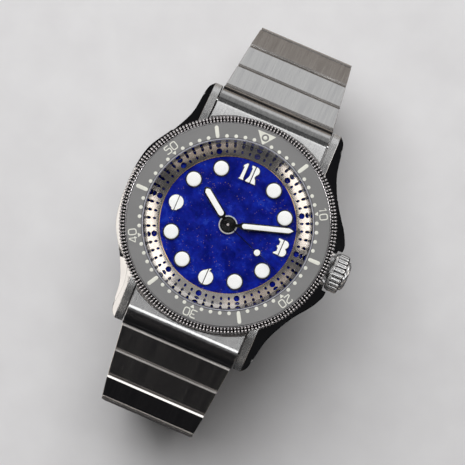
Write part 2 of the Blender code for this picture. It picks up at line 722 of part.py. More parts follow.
# ---------------------------------------------------------------- clasp


def clasp_frame():
    """The clasp's frame and half length: midway between the two last pivots, Y towards the 12 side."""
    y12, z12 = chain(SLOPES_12, 1)[-1]
    y6, z6 = chain(SLOPES_6, -1)[-1]
    half = math.hypot(y12 - y6, z12 - z6) / 2
    tilt = math.atan2(z12 - z6, y12 - y6)
    middle = Matrix.Translation((0, (y12 + y6) / 2 * MM, (z12 + z6) / 2 * MM))
    return middle @ Matrix.Rotation(tilt, 4, "X"), half


def bow(y, half):
    """How far the clasp bows outwards at a place along it."""
    radius = CLASP_BOW_R
    return math.sqrt(radius**2 - y**2) - math.sqrt(radius**2 - half**2)


def band(start, end, inner, outer, half, count=7):
    """A curved strip between two depths; depth grows outwards, which is down in the clasp's frame."""
    places = [start + (end - start) * index / (count - 1) for index in range(count)]
    low = [(y, -(outer + bow(y, half))) for y in places]
    high = [(y, -(inner + bow(y, half))) for y in reversed(places)]
    return low + high


def clasp_part(name, outline, half_width, frame, look):
    """A clasp part with one section along X, placed in the clasp's frame."""
    obj = bar(name, outline, half_width, look)
    obj.matrix_world = frame
    return obj


def clasp_bar(name, outline, low_x, high_x, frame):
    """A clasp cutter or boss between two places along X."""
    mesh = shifted(bar_mesh(name, outline, (high_x - low_x) / 2), (low_x + high_x) / 2)
    obj = add_object(name, mesh)
    obj.matrix_world = frame
    return obj


def hinge_place(sign, half):
    """The centre (y, z) of a hinge near one end of the clasp."""
    y = sign * (half - HINGE_INSET)
    return y, -(0.05 + bow(y, half))


def make_cover(frame, half):
    """The folding cover: a bowed channel with a hinge pin by its 12 side and holes for the pushers."""
    start = -half + 1.25
    end = half - 1.45
    wide = CLASP_WIDTH / 2
    cover = clasp_part("clasp_cover", band(start, end, -1.4, 1.9, half, 9), wide, frame, BRUSHED)
    inside = wide - CLASP_WALL
    channel = band(start - 3, end + 3, -4.0, 0.95, half, 9)
    cut(cover, clasp_bar("cover_channel", channel, -inside, inside, frame))
    hinge = hinge_place(1, half)
    join(cover, clasp_bar("cover_hinge_pin", circle(PIN_R, 10, hinge), -inside - 0.3, inside + 0.3, frame))
    pusher = pusher_place(half)
    cut(cover, clasp_bar("pusher_holes", circle(PUSHER_R + 0.08, 14, pusher), -wide - 1, wide + 1, frame))


def pusher_place(half):
    """The centre (y, z) of the two pushers."""
    y = -half + 9.5
    return y, -(0.1 + bow(y, half))


def make_blades(frame, half):
    """Two folded blades; the outer one hinges on the cover, the inner one holds the 12 side's last link."""
    near_6 = hinge_place(-1, half)
    near_12 = hinge_place(1, half)
    strip = band(near_6[0] + 0.2, near_12[0] - 0.2, -0.3, 0.4, half)
    outer = clasp_part("clasp_outer_blade", strip, BLADE_HALF, frame, POLISHED)
    cut(outer, clasp_bar("outer_blade_slot", circle(HINGE_R + 0.12, 12, near_6), -2.2, 2.2, frame))
    for index, centre in enumerate((near_6, near_12)):
        spans = ((-BLADE_HALF, -2.2), (2.2, BLADE_HALF)) if index == 0 else ((-BLADE_HALF, BLADE_HALF),)
        for place, (low, high) in enumerate(spans):
            eye = clasp_bar(f"outer_blade_eye_{index}_{place}", circle(HINGE_R, 10, centre), low, high, frame)
            join(outer, eye)
    cut(outer, clasp_bar("outer_blade_bore", circle(PIN_HOLE_R, 10, near_12), -7, 7, frame))
    join(outer, clasp_bar("outer_blade_pin", circle(PIN_R, 10, near_6), -2.6, 2.6, frame))
    make_inner_blade(frame, half, near_6)


def make_inner_blade(frame, half, near_6):
    """The inner blade, with an eye on the outer blade's pin and a tongue in the last link's slot."""
    strip = band(near_6[0] + 0.1, half - 2.4, -1.5, -0.9, half)
    inner = clasp_part("clasp_inner_blade", strip, BLADE_HALF, frame, POLISHED)
    wide = BLADE_HALF + 1
    cut(inner, clasp_bar("inner_blade_corner_a", circle(HINGE_R + 0.15, 12, near_6), 2.0, wide, frame))
    cut(inner, clasp_bar("inner_blade_corner_b", circle(HINGE_R + 0.15, 12, near_6), -wide, -2.0, frame))
    join(inner, clasp_bar("inner_blade_eye", circle(HINGE_R, 10, near_6), -2.0, 2.0, frame))
    eye_web = [(near_6[0] - 0.2, near_6[1]), (near_6[0] + 1.6, near_6[1] + 1.0), (near_6[0], near_6[1] + 1.2)]
    join(inner, clasp_bar("inner_blade_web", eye_web, -2.0, 2.0, frame))
    tongue_half = TONGUE_HALF * WIDTH_AT_CLASP / TEMPLATE_WIDTH
    step = [(half - 3.2, 0.75), (half - 3.2, 1.3), (half - 0.4, 0.75), (half, 0.5)]
    step += [(half, -0.6), (half - 0.5, -0.75), (half - 1.6, 0.1)]
    join(inner, clasp_bar("inner_blade_step", step, -tongue_half, tongue_half, frame))
    tongue = circle(KNUCKLE_R, 12, (half, 0))
    join(inner, clasp_bar("inner_blade_tongue", tongue, -tongue_half, tongue_half, frame))
    cut(inner, clasp_bar("inner_blade_bore", circle(PIN_HOLE_R, 10, (half, 0)), -4, 4, frame))
    cut(inner, clasp_bar("inner_blade_eye_bore", circle(PIN_HOLE_R, 10, near_6), -4, 4, frame))


def make_pushers(frame, half):
    """Two sprung release buttons through the cover's walls."""
    y, z = pusher_place(half)
    for sign, label in ((-1, "left"), (1, "right")):
        profile = disc_profile(PUSHER_R, CLASP_WIDTH / 2 - 1.8, CLASP_WIDTH / 2 + 0.8, 0.2)
        pusher = turned(f"clasp_pusher_{label}", profile, POLISHED, steps=16, closed=False)
        turn = Matrix.Rotation(sign * math.pi / 2, 4, "Y")
        pusher.matrix_world = frame @ Matrix.Translation((0, y * MM, z * MM)) @ turn


def smooth_round_parts():
    """Shades the parts smooth, with sharp edges kept."""
    for obj in PARTS.objects:
        obj.data.shade_smooth()
        obj.data.set_sharp_from_angle(angle=math.radians(35))


def main():
    """Builds the whole watch."""
    make_mid_case()
    make_case_back()
    make_bezel()
    make_crystal()
    make_dial_set()
    make_round_markers()
    make_numerals()
    make_hands()
    make_crown()
    make_movement()
    template = link_template()
    make_links(SLOPES_12, 1, "12", template)
    make_links(SLOPES_6, -1, "6", template)
    make_end_link(1, "12")
    make_end_link(-1, "6")
    frame, half = clasp_frame()
    make_cover(frame, half)
    make_blades(frame, half)
    make_pushers(frame, half)
    smooth_round_parts()


main()
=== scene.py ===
"""Looks of the dive watch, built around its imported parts. Shapes are written in millimetres."""

import json
import math

import bmesh
import bpy
from mathutils import Matrix, Vector


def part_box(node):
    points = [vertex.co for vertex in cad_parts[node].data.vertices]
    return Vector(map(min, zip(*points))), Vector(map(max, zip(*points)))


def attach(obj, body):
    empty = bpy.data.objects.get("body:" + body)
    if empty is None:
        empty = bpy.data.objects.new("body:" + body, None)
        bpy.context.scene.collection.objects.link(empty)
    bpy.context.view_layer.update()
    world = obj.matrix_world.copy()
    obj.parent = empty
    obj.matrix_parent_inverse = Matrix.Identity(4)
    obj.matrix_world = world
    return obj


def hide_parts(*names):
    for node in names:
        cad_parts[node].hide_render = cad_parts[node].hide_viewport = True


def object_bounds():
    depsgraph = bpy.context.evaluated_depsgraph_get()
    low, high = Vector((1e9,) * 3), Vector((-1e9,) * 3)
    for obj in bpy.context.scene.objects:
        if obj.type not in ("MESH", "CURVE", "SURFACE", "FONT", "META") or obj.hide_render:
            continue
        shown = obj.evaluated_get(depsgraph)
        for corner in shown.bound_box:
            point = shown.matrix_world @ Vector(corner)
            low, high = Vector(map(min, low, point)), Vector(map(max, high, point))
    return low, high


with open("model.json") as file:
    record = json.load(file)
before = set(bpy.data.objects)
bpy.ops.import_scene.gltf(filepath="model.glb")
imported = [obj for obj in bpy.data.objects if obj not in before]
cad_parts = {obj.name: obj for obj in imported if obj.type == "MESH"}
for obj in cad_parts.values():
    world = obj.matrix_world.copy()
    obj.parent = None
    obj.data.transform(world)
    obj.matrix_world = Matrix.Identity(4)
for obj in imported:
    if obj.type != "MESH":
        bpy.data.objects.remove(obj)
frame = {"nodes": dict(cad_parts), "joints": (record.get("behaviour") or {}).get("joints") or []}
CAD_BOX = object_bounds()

MM = 0.001
NODES = frame["nodes"]
JOINTS = {joint["name"]: joint for joint in frame["joints"]}


def low_mm(node):
    """A CAD node's lowest corner in millimetres."""
    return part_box(node)[0] / MM


def high_mm(node):
    """A CAD node's highest corner in millimetres."""
    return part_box(node)[1] / MM


def middle_mm(node, axis):
    """The middle of a CAD node along an axis in millimetres."""
    return (low_mm(node)[axis] + high_mm(node)[axis]) / 2


def pivot_mm(joint):
    """A hinge's place in millimetres."""
    return Vector(JOINTS[joint]["pos_m"]) / MM


# ---- materials


def add_node(tree, kind, inputs):
    """A new node, with each of these inputs linked or set."""
    node = tree.nodes.new(f"ShaderNode{kind}")
    for key, value in inputs.items():
        socket = node.inputs[key]
        if isinstance(value, bpy.types.NodeSocket):
            tree.links.new(value, socket)
        else:
            socket.default_value = (*value, 1.0) if socket.type == "RGBA" else value
    return node


class Nodes:
    """A Principled material and short ways to add nodes to it."""

    def __init__(self, name, **values):
        self.material = bpy.data.materials.new(name)
        self.material.use_nodes = True
        self.tree = self.material.node_tree
        self.shader = self.tree.nodes["Principled BSDF"]
        self.coordinates = self.tree.nodes.new("ShaderNodeTexCoord").outputs["Object"]
        for label, value in values.items():
            self.shader.inputs[label.replace("_", " ")].default_value = value

    def link(self, output, label):
        """Feeds one of the shader's inputs."""
        self.tree.links.new(output, self.shader.inputs[label])

    def node(self, kind, inputs):
        """A node in this material."""
        return add_node(self.tree, kind, inputs)

    def noise(self, scale, detail=3.0, stretch=(1.0, 1.0, 1.0), rough=0.5, distortion=0.0):
        """Fractal noise with a scale in cycles per metre."""
        place = self.node("Mapping", {"Vector": self.coordinates, "Scale": stretch}).outputs["Vector"]
        inputs = {"Vector": place, "Scale": scale, "Detail": detail, "Roughness": rough}
        return self.node("TexNoise", {**inputs, "Distortion": distortion}).outputs["Fac"]

    def cells(self, scale):
        """Distances from the middles of cells, with a scale in cells per metre."""
        return self.node("TexVoronoi", {"Vector": self.coordinates, "Scale": scale}).outputs["Distance"]

    def ramp(self, source, *stops):
        """A colour ramp; each stop is (place, colour or grey)."""
        node = self.node("ValToRGB", {"Fac": source})
        elements = node.color_ramp.elements
        while len(elements) < len(stops):
            elements.new(0.5)
        for element, (place, colour) in zip(elements, stops):
            element.position = place
            rgb = colour if isinstance(colour, tuple) else (colour, colour, colour)
            element.color = (*rgb, 1.0)
        return node.outputs["Color"]

    def span(self, source, low, high, start, end):
        """Maps a value from low..high to start..end."""
        inputs = {"Value": source, "From Min": low, "From Max": high, "To Min": start, "To Max": end}
        return self.node("MapRange", inputs).outputs["Result"]

    def math(self, operation, first, second):
        """A Math node on two values."""
        node = self.node("Math", {0: first, 1: second})
        node.operation = operation
        return node.outputs["Value"]

    def mix(self, factor, first, second):
        """Mixes two colours."""
        node = self.node("Mix", {0: factor, 6: first, 7: second})
        node.data_type = "RGBA"
        return node.outputs[2]

    def bump(self, height, distance, strength):
        """A bump of this height in metres, fed to the shader's normal."""
        inputs = {"Height": height, "Distance": distance, "Strength": strength}
        self.link(self.node("Bump", inputs).outputs["Normal"], "Normal")

    def grain_across(self, axis):
        """Lays highlights along one of the object's axes."""
        turn = self.node("VectorTransform", {"Vector": axis})
        turn.vector_type = "VECTOR"
        turn.convert_from = "OBJECT"
        turn.convert_to = "WORLD"
        self.link(turn.outputs["Vector"], "Tangent")

    def grain_round(self, axis="Z"):
        """Lays highlights round an axis."""
        node = self.node("Tangent", {})
        node.direction_type = "RADIAL"
        node.axis = axis
        self.link(node.outputs["Tangent"], "Tangent")

    def finish(self, grain, dark, bright, rough, bump, places=(0.3, 0.7)):
        """Lets one grain drive the colour, the roughness and the bump."""
        self.link(self.ramp(grain, (places[0], dark), (places[1], bright)), "Base Color")
        self.link(self.span(grain, *places, *rough), "Roughness")
        self.bump(grain, *bump)
        return self.material


def times(colour, factor):
    """A colour made lighter or darker."""
    return tuple(min(1.0, part * factor) for part in colour)


def brushed_steel(name, stretch, across, tone=0.56, roughness=0.32, anisotropy=0.75, metal=1.0):
    """Steel with a straight brushed grain; stretch is fine across the grain and coarse along it."""
    look = Nodes(name, Metallic=metal, Anisotropic=anisotropy)
    grain = look.noise(9000, 4.0, stretch, 0.6)
    streaks = look.noise(2600, 3.0, stretch, 0.6)
    both = look.math("ADD", look.math("MULTIPLY", grain, 0.5), look.math("MULTIPLY", streaks, 0.5))
    look.grain_across(across)
    dark = times((0.88, 0.88, 0.89), tone)
    bright = times((1.13, 1.13, 1.12), tone)
    rough = (roughness - 0.03, roughness + 0.03)
    return look.finish(both, dark, bright, rough, (0.000004, 0.2), (0.36, 0.64))


def polished_steel(name, tone=0.66, roughness=0.07, tint=(1.0, 1.0, 1.0), metal=1.0):
    """Mirror steel with faint smudges and hairlines; a plated satin surface is less than all metal."""
    look = Nodes(name, Metallic=metal)
    smudge = look.noise(260, 3.0)
    hairline = look.noise(2600, 2.0, (1.0, 0.12, 1.0), 0.6)
    colours = look.ramp(smudge, (0.35, times(tint, tone * 0.97)), (0.65, times(tint, tone * 1.03)))
    look.link(colours, "Base Color")
    soft = look.span(smudge, 0.35, 0.7, roughness * 0.7, roughness * 1.5)
    look.link(look.math("ADD", soft, look.span(hairline, 0.55, 0.75, 0.0, 0.03)), "Roughness")
    look.bump(smudge, 0.000004, 0.3)
    return look.material


def turned_steel(name, tone=0.56, roughness=0.28, axis="Z", metal=1.0):
    """Steel with a circular grain; a satin finish scatters some light, so it's less than all metal."""
    look = Nodes(name, Metallic=metal, Anisotropic=0.6)
    look.grain_round(axis)
    rough = (roughness - 0.06, roughness + 0.08)
    return look.finish(look.noise(5200, 4.0), tone * 0.9, tone * 1.08, rough, (0.000004, 0.4))


def satin_grey(name):
    """The insert's satin grey, with a fine blasted grain."""
    look = Nodes(name, Metallic=0.15, Specular_IOR_Level=0.4)
    grain = look.noise(7000, 3.0, rough=0.6)
    cloud = look.noise(150, 2.0)
    tone = look.ramp(cloud, (0.3, (0.186, 0.184, 0.183)), (0.7, (0.214, 0.212, 0.211)))
    look.link(look.mix(0.25, tone, look.ramp(grain, (0.35, 0.155), (0.65, 0.25))), "Base Color")
    look.link(look.span(grain, 0.3, 0.7, 0.42, 0.56), "Roughness")
    look.bump(grain, 0.000008, 0.4)
    return look.material


def lume(name, colour, dim):
    """Luminous compound with a matt, slightly uneven grain."""
    look = Nodes(name, Roughness=0.6, Specular_IOR_Level=0.3)
    grain = look.noise(9000, 4.0, rough=0.65)
    cloud = look.noise(900, 2.0)
    shade = times(colour, dim)
    base = look.ramp(cloud, (0.3, shade), (0.6, colour))
    look.link(look.mix(0.2, base, look.ramp(grain, (0.3, shade), (0.7, colour))), "Base Color")
    look.link(look.span(grain, 0.3, 0.7, 0.5, 0.75), "Roughness")
    look.bump(grain, 0.00001, 0.5)
    return look.material


def lapis(name):
    """Polished lapis: clouded deep blue with gold flecks and a few pale hairlines."""
    look = Nodes(name, Specular_IOR_Level=0.15, Coat_Weight=0.12, Coat_Roughness=0.05)
    cloud = look.noise(420, 6.0, rough=0.68, distortion=0.3)
    blues = [(0.28, (0.0008, 0.003, 0.075)), (0.44, (0.0012, 0.005, 0.155)), (0.56, (0.0016, 0.010, 0.25))]
    blues.append((0.74, (0.003, 0.030, 0.37)))
    violet_patch = look.noise(900, 4.0, rough=0.65)
    pale_patch = look.noise(1500, 5.0, rough=0.75)
    black_patch = look.noise(620, 5.0, rough=0.75, distortion=0.8)
    colour = look.ramp(cloud, *blues)
    colour = look.mix(look.span(violet_patch, 0.56, 0.74, 0.0, 0.5), colour, (0.012, 0.004, 0.24))
    colour = look.mix(look.span(pale_patch, 0.60, 0.78, 0.0, 0.45), colour, (0.010, 0.07, 0.48))
    colour = look.mix(look.span(black_patch, 0.58, 0.74, 0.0, 0.6), colour, (0.001, 0.002, 0.03))
    vein = look.noise(210, 2.0, distortion=2.0)
    line = look.math("ABSOLUTE", look.math("SUBTRACT", vein, 0.5), 0.0)
    colour = look.mix(look.span(line, 0.0, 0.003, 0.08, 0.0), colour, (0.08, 0.11, 0.5))
    fleck = look.span(look.cells(2300), 0.09, 0.2, 1.0, 0.0)
    gold = look.math("MULTIPLY", fleck, look.span(look.noise(700, 2.0), 0.5, 0.58, 0.0, 1.0))
    look.link(look.mix(gold, colour, (0.42, 0.27, 0.10)), "Base Color")
    look.link(look.math("MULTIPLY", gold, 0.6), "Metallic")
    look.link(look.span(cloud, 0.3, 0.7, 0.16, 0.3), "Roughness")
    look.bump(cloud, 0.00001, 0.3)
    return look.material


def black_lacquer(name, tone=0.012):
    """Black polished frames of hands and markers, and the black painted shade in the bezel's and crown's
    grooves and the chapter ring's hole walls.
    """
    look = Nodes(name, Metallic=0.7, Coat_Weight=0.5, Coat_Roughness=0.08)
    return look.finish(look.noise(3000, 3.0), tone * 0.7, tone * 1.5, (0.14, 0.3), (0.000003, 0.3))


def plain_plastic(name, colour, roughness):
    """Nylon or rubber with a fine moulded grain."""
    look = Nodes(name)
    rough = (roughness - 0.08, roughness + 0.08)
    dark = times(colour, 0.85)
    bright = times(colour, 1.1)
    return look.finish(look.noise(4200, 3.0), dark, bright, rough, (0.000006, 0.4))


def gilt_brass(name):
    """Gilt brass with a circular grain."""
    look = Nodes(name, Metallic=1.0, Anisotropic=0.5)
    look.grain_round()
    dark = (0.62, 0.43, 0.17)
    bright = (0.78, 0.57, 0.27)
    return look.finish(look.noise(4200, 4.0), dark, bright, (0.22, 0.38), (0.000005, 0.4))


def sapphire(name):
    """Clear sapphire; light to and from the dial passes straight through."""
    look = Nodes(name, Base_Color=(0.985, 0.99, 1.0, 1.0), IOR=1.6, Transmission_Weight=1.0)
    look.link(look.span(look.noise(140, 2.0), 0.4, 0.7, 0.0, 0.006), "Roughness")
    clear = look.node("BsdfTransparent", {}).outputs[0]
    path = look.node("LightPath", {})
    surface = look.shader.outputs[0]
    for kind in ("Is Shadow Ray", "Is Diffuse Ray", "Is Glossy Ray"):
        surface = look.node("MixShader", {0: path.outputs[kind], 1: surface, 2: clear}).outputs[0]
    look.tree.links.new(surface, look.tree.nodes["Material Output"].inputs["Surface"])
    return look.material


ALONG_Y = (1.0, 0.03, 1.0)
ALONG_X = (0.03, 1.0, 1.0)
SIDEWAYS = (1.0, 0.0, 0.0)
LENGTHWAYS = (0.0, 1.0, 0.0)
BRUSHED_Y = brushed_steel("steel_brushed_lengthways", ALONG_Y, SIDEWAYS, 0.62, 0.19, 0.5)
BRUSHED_CASE = brushed_steel("steel_brushed_case", ALONG_Y, SIDEWAYS, 0.66, 0.26, metal=0.85)
BRUSHED_X = brushed_steel("steel_brushed_across", ALONG_X, LENGTHWAYS)
POLISHED = polished_steel("steel_polished")
BEVEL = polished_steel("steel_bevel", 0.72, 0.1, (1.0, 0.95, 0.91), 0.8)
CROWN_STEEL = polished_steel("steel_crown", 0.88, 0.12, metal=0.74)
BEADS = polished_steel("steel_beads", 0.84, 0.16, (1.0, 0.96, 0.98), 0.78)
MIRROR = polished_steel("steel_mirror", 0.72, 0.12, (1.0, 0.9, 0.88), 0.5)
WARM = polished_steel("steel_warm_ring", 0.76, 0.15, (1.0, 0.94, 0.89), 0.9)
TURNED = turned_steel("steel_turned")
TURNED_X = turned_steel("steel_turned_crown", axis="X")
SATIN = turned_steel("steel_satin_collar", 0.7, 0.3, metal=0.4)
PLATE = turned_steel("movement_rhodium", 0.45, 0.3)
GREY = satin_grey("insert_satin_grey")
CREAM = lume("lume_cream", (0.74, 0.735, 0.66), 0.9)
WHITE = lume("lume_white", (0.93, 0.93, 0.91), 0.94)
LAPIS = lapis("lapis_lazuli")
BLACK = black_lacquer("black_lacquer")
# Black painted shade for the hollows between the bezel's teeth and in the crown's flutes.
PAINTED_GROOVE_SHADE = black_lacquer("painted_groove_shade", 0.01)
RIM = black_lacquer("marker_rim_metal", 0.09)
NYLON = plain_plastic("gasket_nylon", (0.42, 0.42, 0.47), 0.3)
RUBBER = plain_plastic("gasket_rubber", (0.03, 0.03, 0.032), 0.65)
BRASS = gilt_brass("gilt_brass")
GLASS = sapphire("sapphire")


# ---- mesh tools


def added(name, data):
    """A new object in the scene."""
    obj = bpy.data.objects.new(name, data)
    bpy.context.scene.collection.objects.link(obj)
    return obj


def place(name, mesh, looks, body, replaces=(), slot=None, at=None, sharp=35.0, flat=False):
    """Makes a mesh a piece of the watch, on a body, in place of CAD nodes."""
    obj = added(name, mesh)
    kinds = [face.material_index for face in mesh.polygons]
    mesh.materials.clear()
    for look in looks if isinstance(looks, list) else [looks]:
        mesh.materials.append(look)
    if isinstance(looks, list):
        mesh.polygons.foreach_set("material_index", kinds)
    mesh.shade_smooth()
    mesh.set_sharp_from_angle(angle=math.radians(sharp))
    if flat:
        flat_normals(mesh, sharp)
    if at is not None:
        obj.matrix_world = at
    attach(obj, body)
    if replaces:
        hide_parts(*replaces)
    return obj


def flat_normals(mesh, angle):
    """Shades each corner by the larger faces round it, so that flats look flat."""
    limit = math.cos(math.radians(angle))
    around = [[] for _ in mesh.vertices]
    for face in mesh.polygons:
        for index in face.vertices:
            around[index].append(face)
    normals = []
    for face in mesh.polygons:
        for index in face.vertices:
            total = Vector()
            for other in around[index]:
                if face.normal.dot(other.normal) > limit:
                    total += other.normal * other.area
            normals.append(total.normalized())
    mesh.normals_split_custom_set(normals)


def new_mesh(name, points, faces):
    """A welded mesh from points in millimetres."""
    mesh = bpy.data.meshes.new(name)
    mesh.from_pydata([tuple(part * MM for part in point) for point in points], [], faces)
    return tidy(mesh)


def tidy(mesh, gap=1e-7):
    """Welds close points and turns the faces outwards."""
    work = bmesh.new()
    work.from_mesh(mesh)
    bmesh.ops.remove_doubles(work, verts=work.verts, dist=gap)
    bmesh.ops.dissolve_degenerate(work, dist=gap, edges=work.edges)
    bmesh.ops.recalc_face_normals(work, faces=work.faces)
    work.to_mesh(mesh)
    work.free()
    return mesh


def evaluated(obj):
    """An object's mesh with its modifiers applied."""
    bpy.context.view_layer.update()
    graph = bpy.context.evaluated_depsgraph_get()
    mesh = bpy.data.meshes.new_from_object(obj.evaluated_get(graph))
    bpy.data.objects.remove(obj)
    return mesh


def combine(mesh, tools, operation):
    """Cuts or joins meshes with exact Booleans."""
    obj = added(mesh.name, mesh)
    helpers = [added(tool.name, tool) for tool in tools]
    for helper in helpers:
        modifier = obj.modifiers.new("Combine", "BOOLEAN")
        modifier.operation = operation
        modifier.solver = "EXACT"
        modifier.object = helper
    result = evaluated(obj)
    for helper in helpers:
        bpy.data.objects.remove(helper)
    return tidy(result)


def rounded(mesh, width):
    """Rounds the sharp edges of a mesh."""
    obj = added(mesh.name, mesh)
    modifier = obj.modifiers.new("Round", "BEVEL")
    modifier.width = width * MM
    modifier.segments = 2
    modifier.limit_method = "ANGLE"
    modifier.angle_limit = math.radians(40)
    modifier.use_clamp_overlap = True
    modifier.miter_outer = "MITER_ARC"
    return evaluated(obj)


def joined(name, meshes):
    """One mesh of several, each keeping its own material numbers."""
    work = bmesh.new()
    for mesh in meshes:
        work.from_mesh(mesh)
    result = bpy.data.meshes.new(name)
    work.to_mesh(result)
    work.free()
    return result


def moved(mesh, matrix):
    """A mesh turned and moved in place."""
    mesh.transform(matrix)
    return mesh


def shift(x=0.0, y=0.0, z=0.0):
    """A move in millimetres."""
    return Matrix.Translation((x * MM, y * MM, z * MM))


def clock_turn(angle):
    """A turn clockwise about the dial's axis, in degrees."""
    return Matrix.Rotation(-math.radians(angle), 4, "Z")


def lie_along_x(y, z):
    """Lays a mesh made about Z along +X."""
    return shift(0, y, z) @ Matrix.Rotation(math.pi / 2, 4, "Y")


def polar(radius, angle):
    """A point on the dial at an angle counted clockwise from 12 o'clock."""
    turn = math.radians(angle)
    return radius * math.sin(turn), radius * math.cos(turn)


def arc(radius, count, centre=(0.0, 0.0), start=0.0, sweep=360.0):
    """Points on a circle, or on an arc with both of its ends."""
    steps = count if abs(sweep) == 360.0 else count - 1
    turns = [math.radians(start + sweep * index / steps) for index in range(count)]
    return [(centre[0] + radius * math.cos(turn), centre[1] + radius * math.sin(turn)) for turn in turns]


def oval(half_wide, half_tall, count, middle):
    """Points on an upright oval whose middle lies on the Y axis."""
    return [(x * half_wide, middle + y * half_tall) for x, y in arc(1.0, count)]


def smooth_line(points, count=6):
    """A smooth line through points, with this many steps between each two."""
    ends = [Vector(point) for point in points[:1] + points + points[-1:]]
    result = []
    for before, start, end, after in zip(ends, ends[1:], ends[2:], ends[3:]):
        b = end - before
        c = 2 * before - 5 * start + 4 * end - after
        d = 3 * start - before - 3 * end + after
        for step in range(count):
            t = step / count
            result.append(tuple(0.5 * (2 * start + b * t + c * t * t + d * t ** 3)))
    return result + points[-1:]


def value_at(line, place):
    """The second value of a line of (place, value) pairs at a place."""
    for (low, first), (high, second) in zip(line, line[1:]):
        if place <= high:
            share = (place - low) / (high - low)
            return first + (second - first) * max(0.0, share)
    return line[-1][1]


def soft_corners(points, radius, steps=3, closed=True):
    """Rounds the corners of an outline with short arcs."""
    result = []
    count = len(points)
    for index, point in enumerate(points):
        here = Vector(point)
        if not closed and index in (0, count - 1):
            result.append(point)
            continue
        before = Vector(points[index - 1]) - here
        after = Vector(points[(index + 1) % count]) - here
        reach = min(radius, before.length * 0.45, after.length * 0.45)
        first = here + before.normalized() * reach
        last = here + after.normalized() * reach
        for step in range(steps + 1):
            t = step / steps
            result.append(tuple(first * (1 - t) ** 2 + here * 2 * t * (1 - t) + last * t ** 2))
    return result


def lathe(name, profile, steps, closed=True, wave=None):
    """A profile of (radius, height) turned about Z; wave(index, angle) may move its points."""
    points = []
    faces = []
    rows = len(profile)
    for step in range(steps):
        angle = 2 * math.pi * step / steps
        for index, (radius, height) in enumerate(profile):
            if wave:
                radius, height = wave(index, angle, radius, height)
            points.append((radius * math.cos(angle), radius * math.sin(angle), height))
    spans = rows if closed else rows - 1
    for step in range(steps):
        here = step * rows
        there = (step + 1) % steps * rows
        for index in range(spans):
            following = (index + 1) % rows
            faces.append((here + index, there + index, there + following, here + following))
    return new_mesh(name, points, faces)


def new_curve(name, dimensions, lines, closed):
    """A curve through lines of points in millimetres."""
    curve = bpy.data.curves.new(name, "CURVE")
    curve.dimensions = dimensions
    for line in lines:
        spline = curve.splines.new("POLY")
        spline.points.add(len(line) - 1)
        for point, (x, y) in zip(spline.points, line):
            point.co = (x * MM, y * MM, 0.0, 1.0)
        spline.use_cyclic_u = closed
    return curve


def filled(name, loops, low, high, edge=0.0, edge_steps=1):
    """Flat outlines in XY, filled and standing from low to high, with rounded edges."""
    curve = new_curve(name, "2D", loops, True)
    curve.fill_mode = "BOTH"
    curve.extrude = ((high - low) / 2 - edge) * MM
    curve.bevel_depth = edge * MM
    curve.bevel_resolution = edge_steps
    curve.offset = -edge * MM
    return tidy(moved(evaluated(added(name, curve)), shift(z=(low + high) / 2)))


def stroke(name, points, width, height, closed):
    """A rounded raised line along points on a flat surface."""
    curve = new_curve(name, "3D", [points], closed)
    curve.bevel_depth = width / 2 * MM
    curve.bevel_resolution = 3
    curve.use_fill_caps = True
    squash = Matrix.Diagonal((1.0, 1.0, 2 * height / width, 1.0))
    return tidy(moved(evaluated(added(name, curve)), squash))


AXES_TO_YZ = Matrix(((0, 0, 1, 0), (1, 0, 0, 0), (0, 1, 0, 0), (0, 0, 0, 1)))


def bar(name, outline, low, high, edge=0.0, edge_steps=1):
    """An outline in the YZ plane, standing from low to high along X."""
    return moved(filled(name, [outline], low, high, edge, edge_steps), AXES_TO_YZ)


def pick(mesh, chosen):
    """Gives faces that meet a rule the second material."""
    for face in mesh.polygons:
        face.material_index = 1 if chosen(face) else 0
    return mesh


# ---- case

CASE_TOP = 7.7
CASE_FLOOR = 1.3
LUG_IN = 11.0
LUG_FACET = 12.38
LUG_TIP = 23.2
TOP_LINE = [(0, CASE_TOP), (12.5, CASE_TOP), (16.0, 7.3), (19.0, 6.2), (21.6, 4.8), (LUG_TIP, 3.4)]
TOP_LINE = smooth_line(TOP_LINE)
UNDER_LINE = smooth_line([(0, CASE_FLOOR), (15.2, CASE_FLOOR), (18.8, 0.35), (21.5, 0.0), (LUG_TIP, 0.45)])
LUG_END = [(22.3, 13.2), (LUG_TIP, 12.35)]
LEFT_LINE = [(0, 19.7), (3.2, 19.62), (7.6, 18.75), (12.0, 16.2), (16.5, 14.15), (20.6, 13.6)]
LEFT_LINE = smooth_line(LEFT_LINE + LUG_END)
RIGHT_LINE = smooth_line([(5.0, 20.85), (7.5, 19.55), (11.2, 16.9), (16.0, 14.6), (20.6, 13.65)] + LUG_END)
GUARD_Y = 3.95
GUARD_TIP = 20.9
RECESS_X = 20.05
BEZEL_EDGE = 19.3
RING_IN = 17.0
SIDE_STEPS = 56
BAR_Y = middle_mm("spring_bar_12", 1)
BAR_Z = middle_mm("spring_bar_12", 2)


def outer_x(y, side):
    """How far the case reaches from the middle at a place along it."""
    y = abs(y)
    if side < 0:
        return value_at(LEFT_LINE, y)
    return GUARD_TIP if y <= 5.0 else value_at(RIGHT_LINE, y)


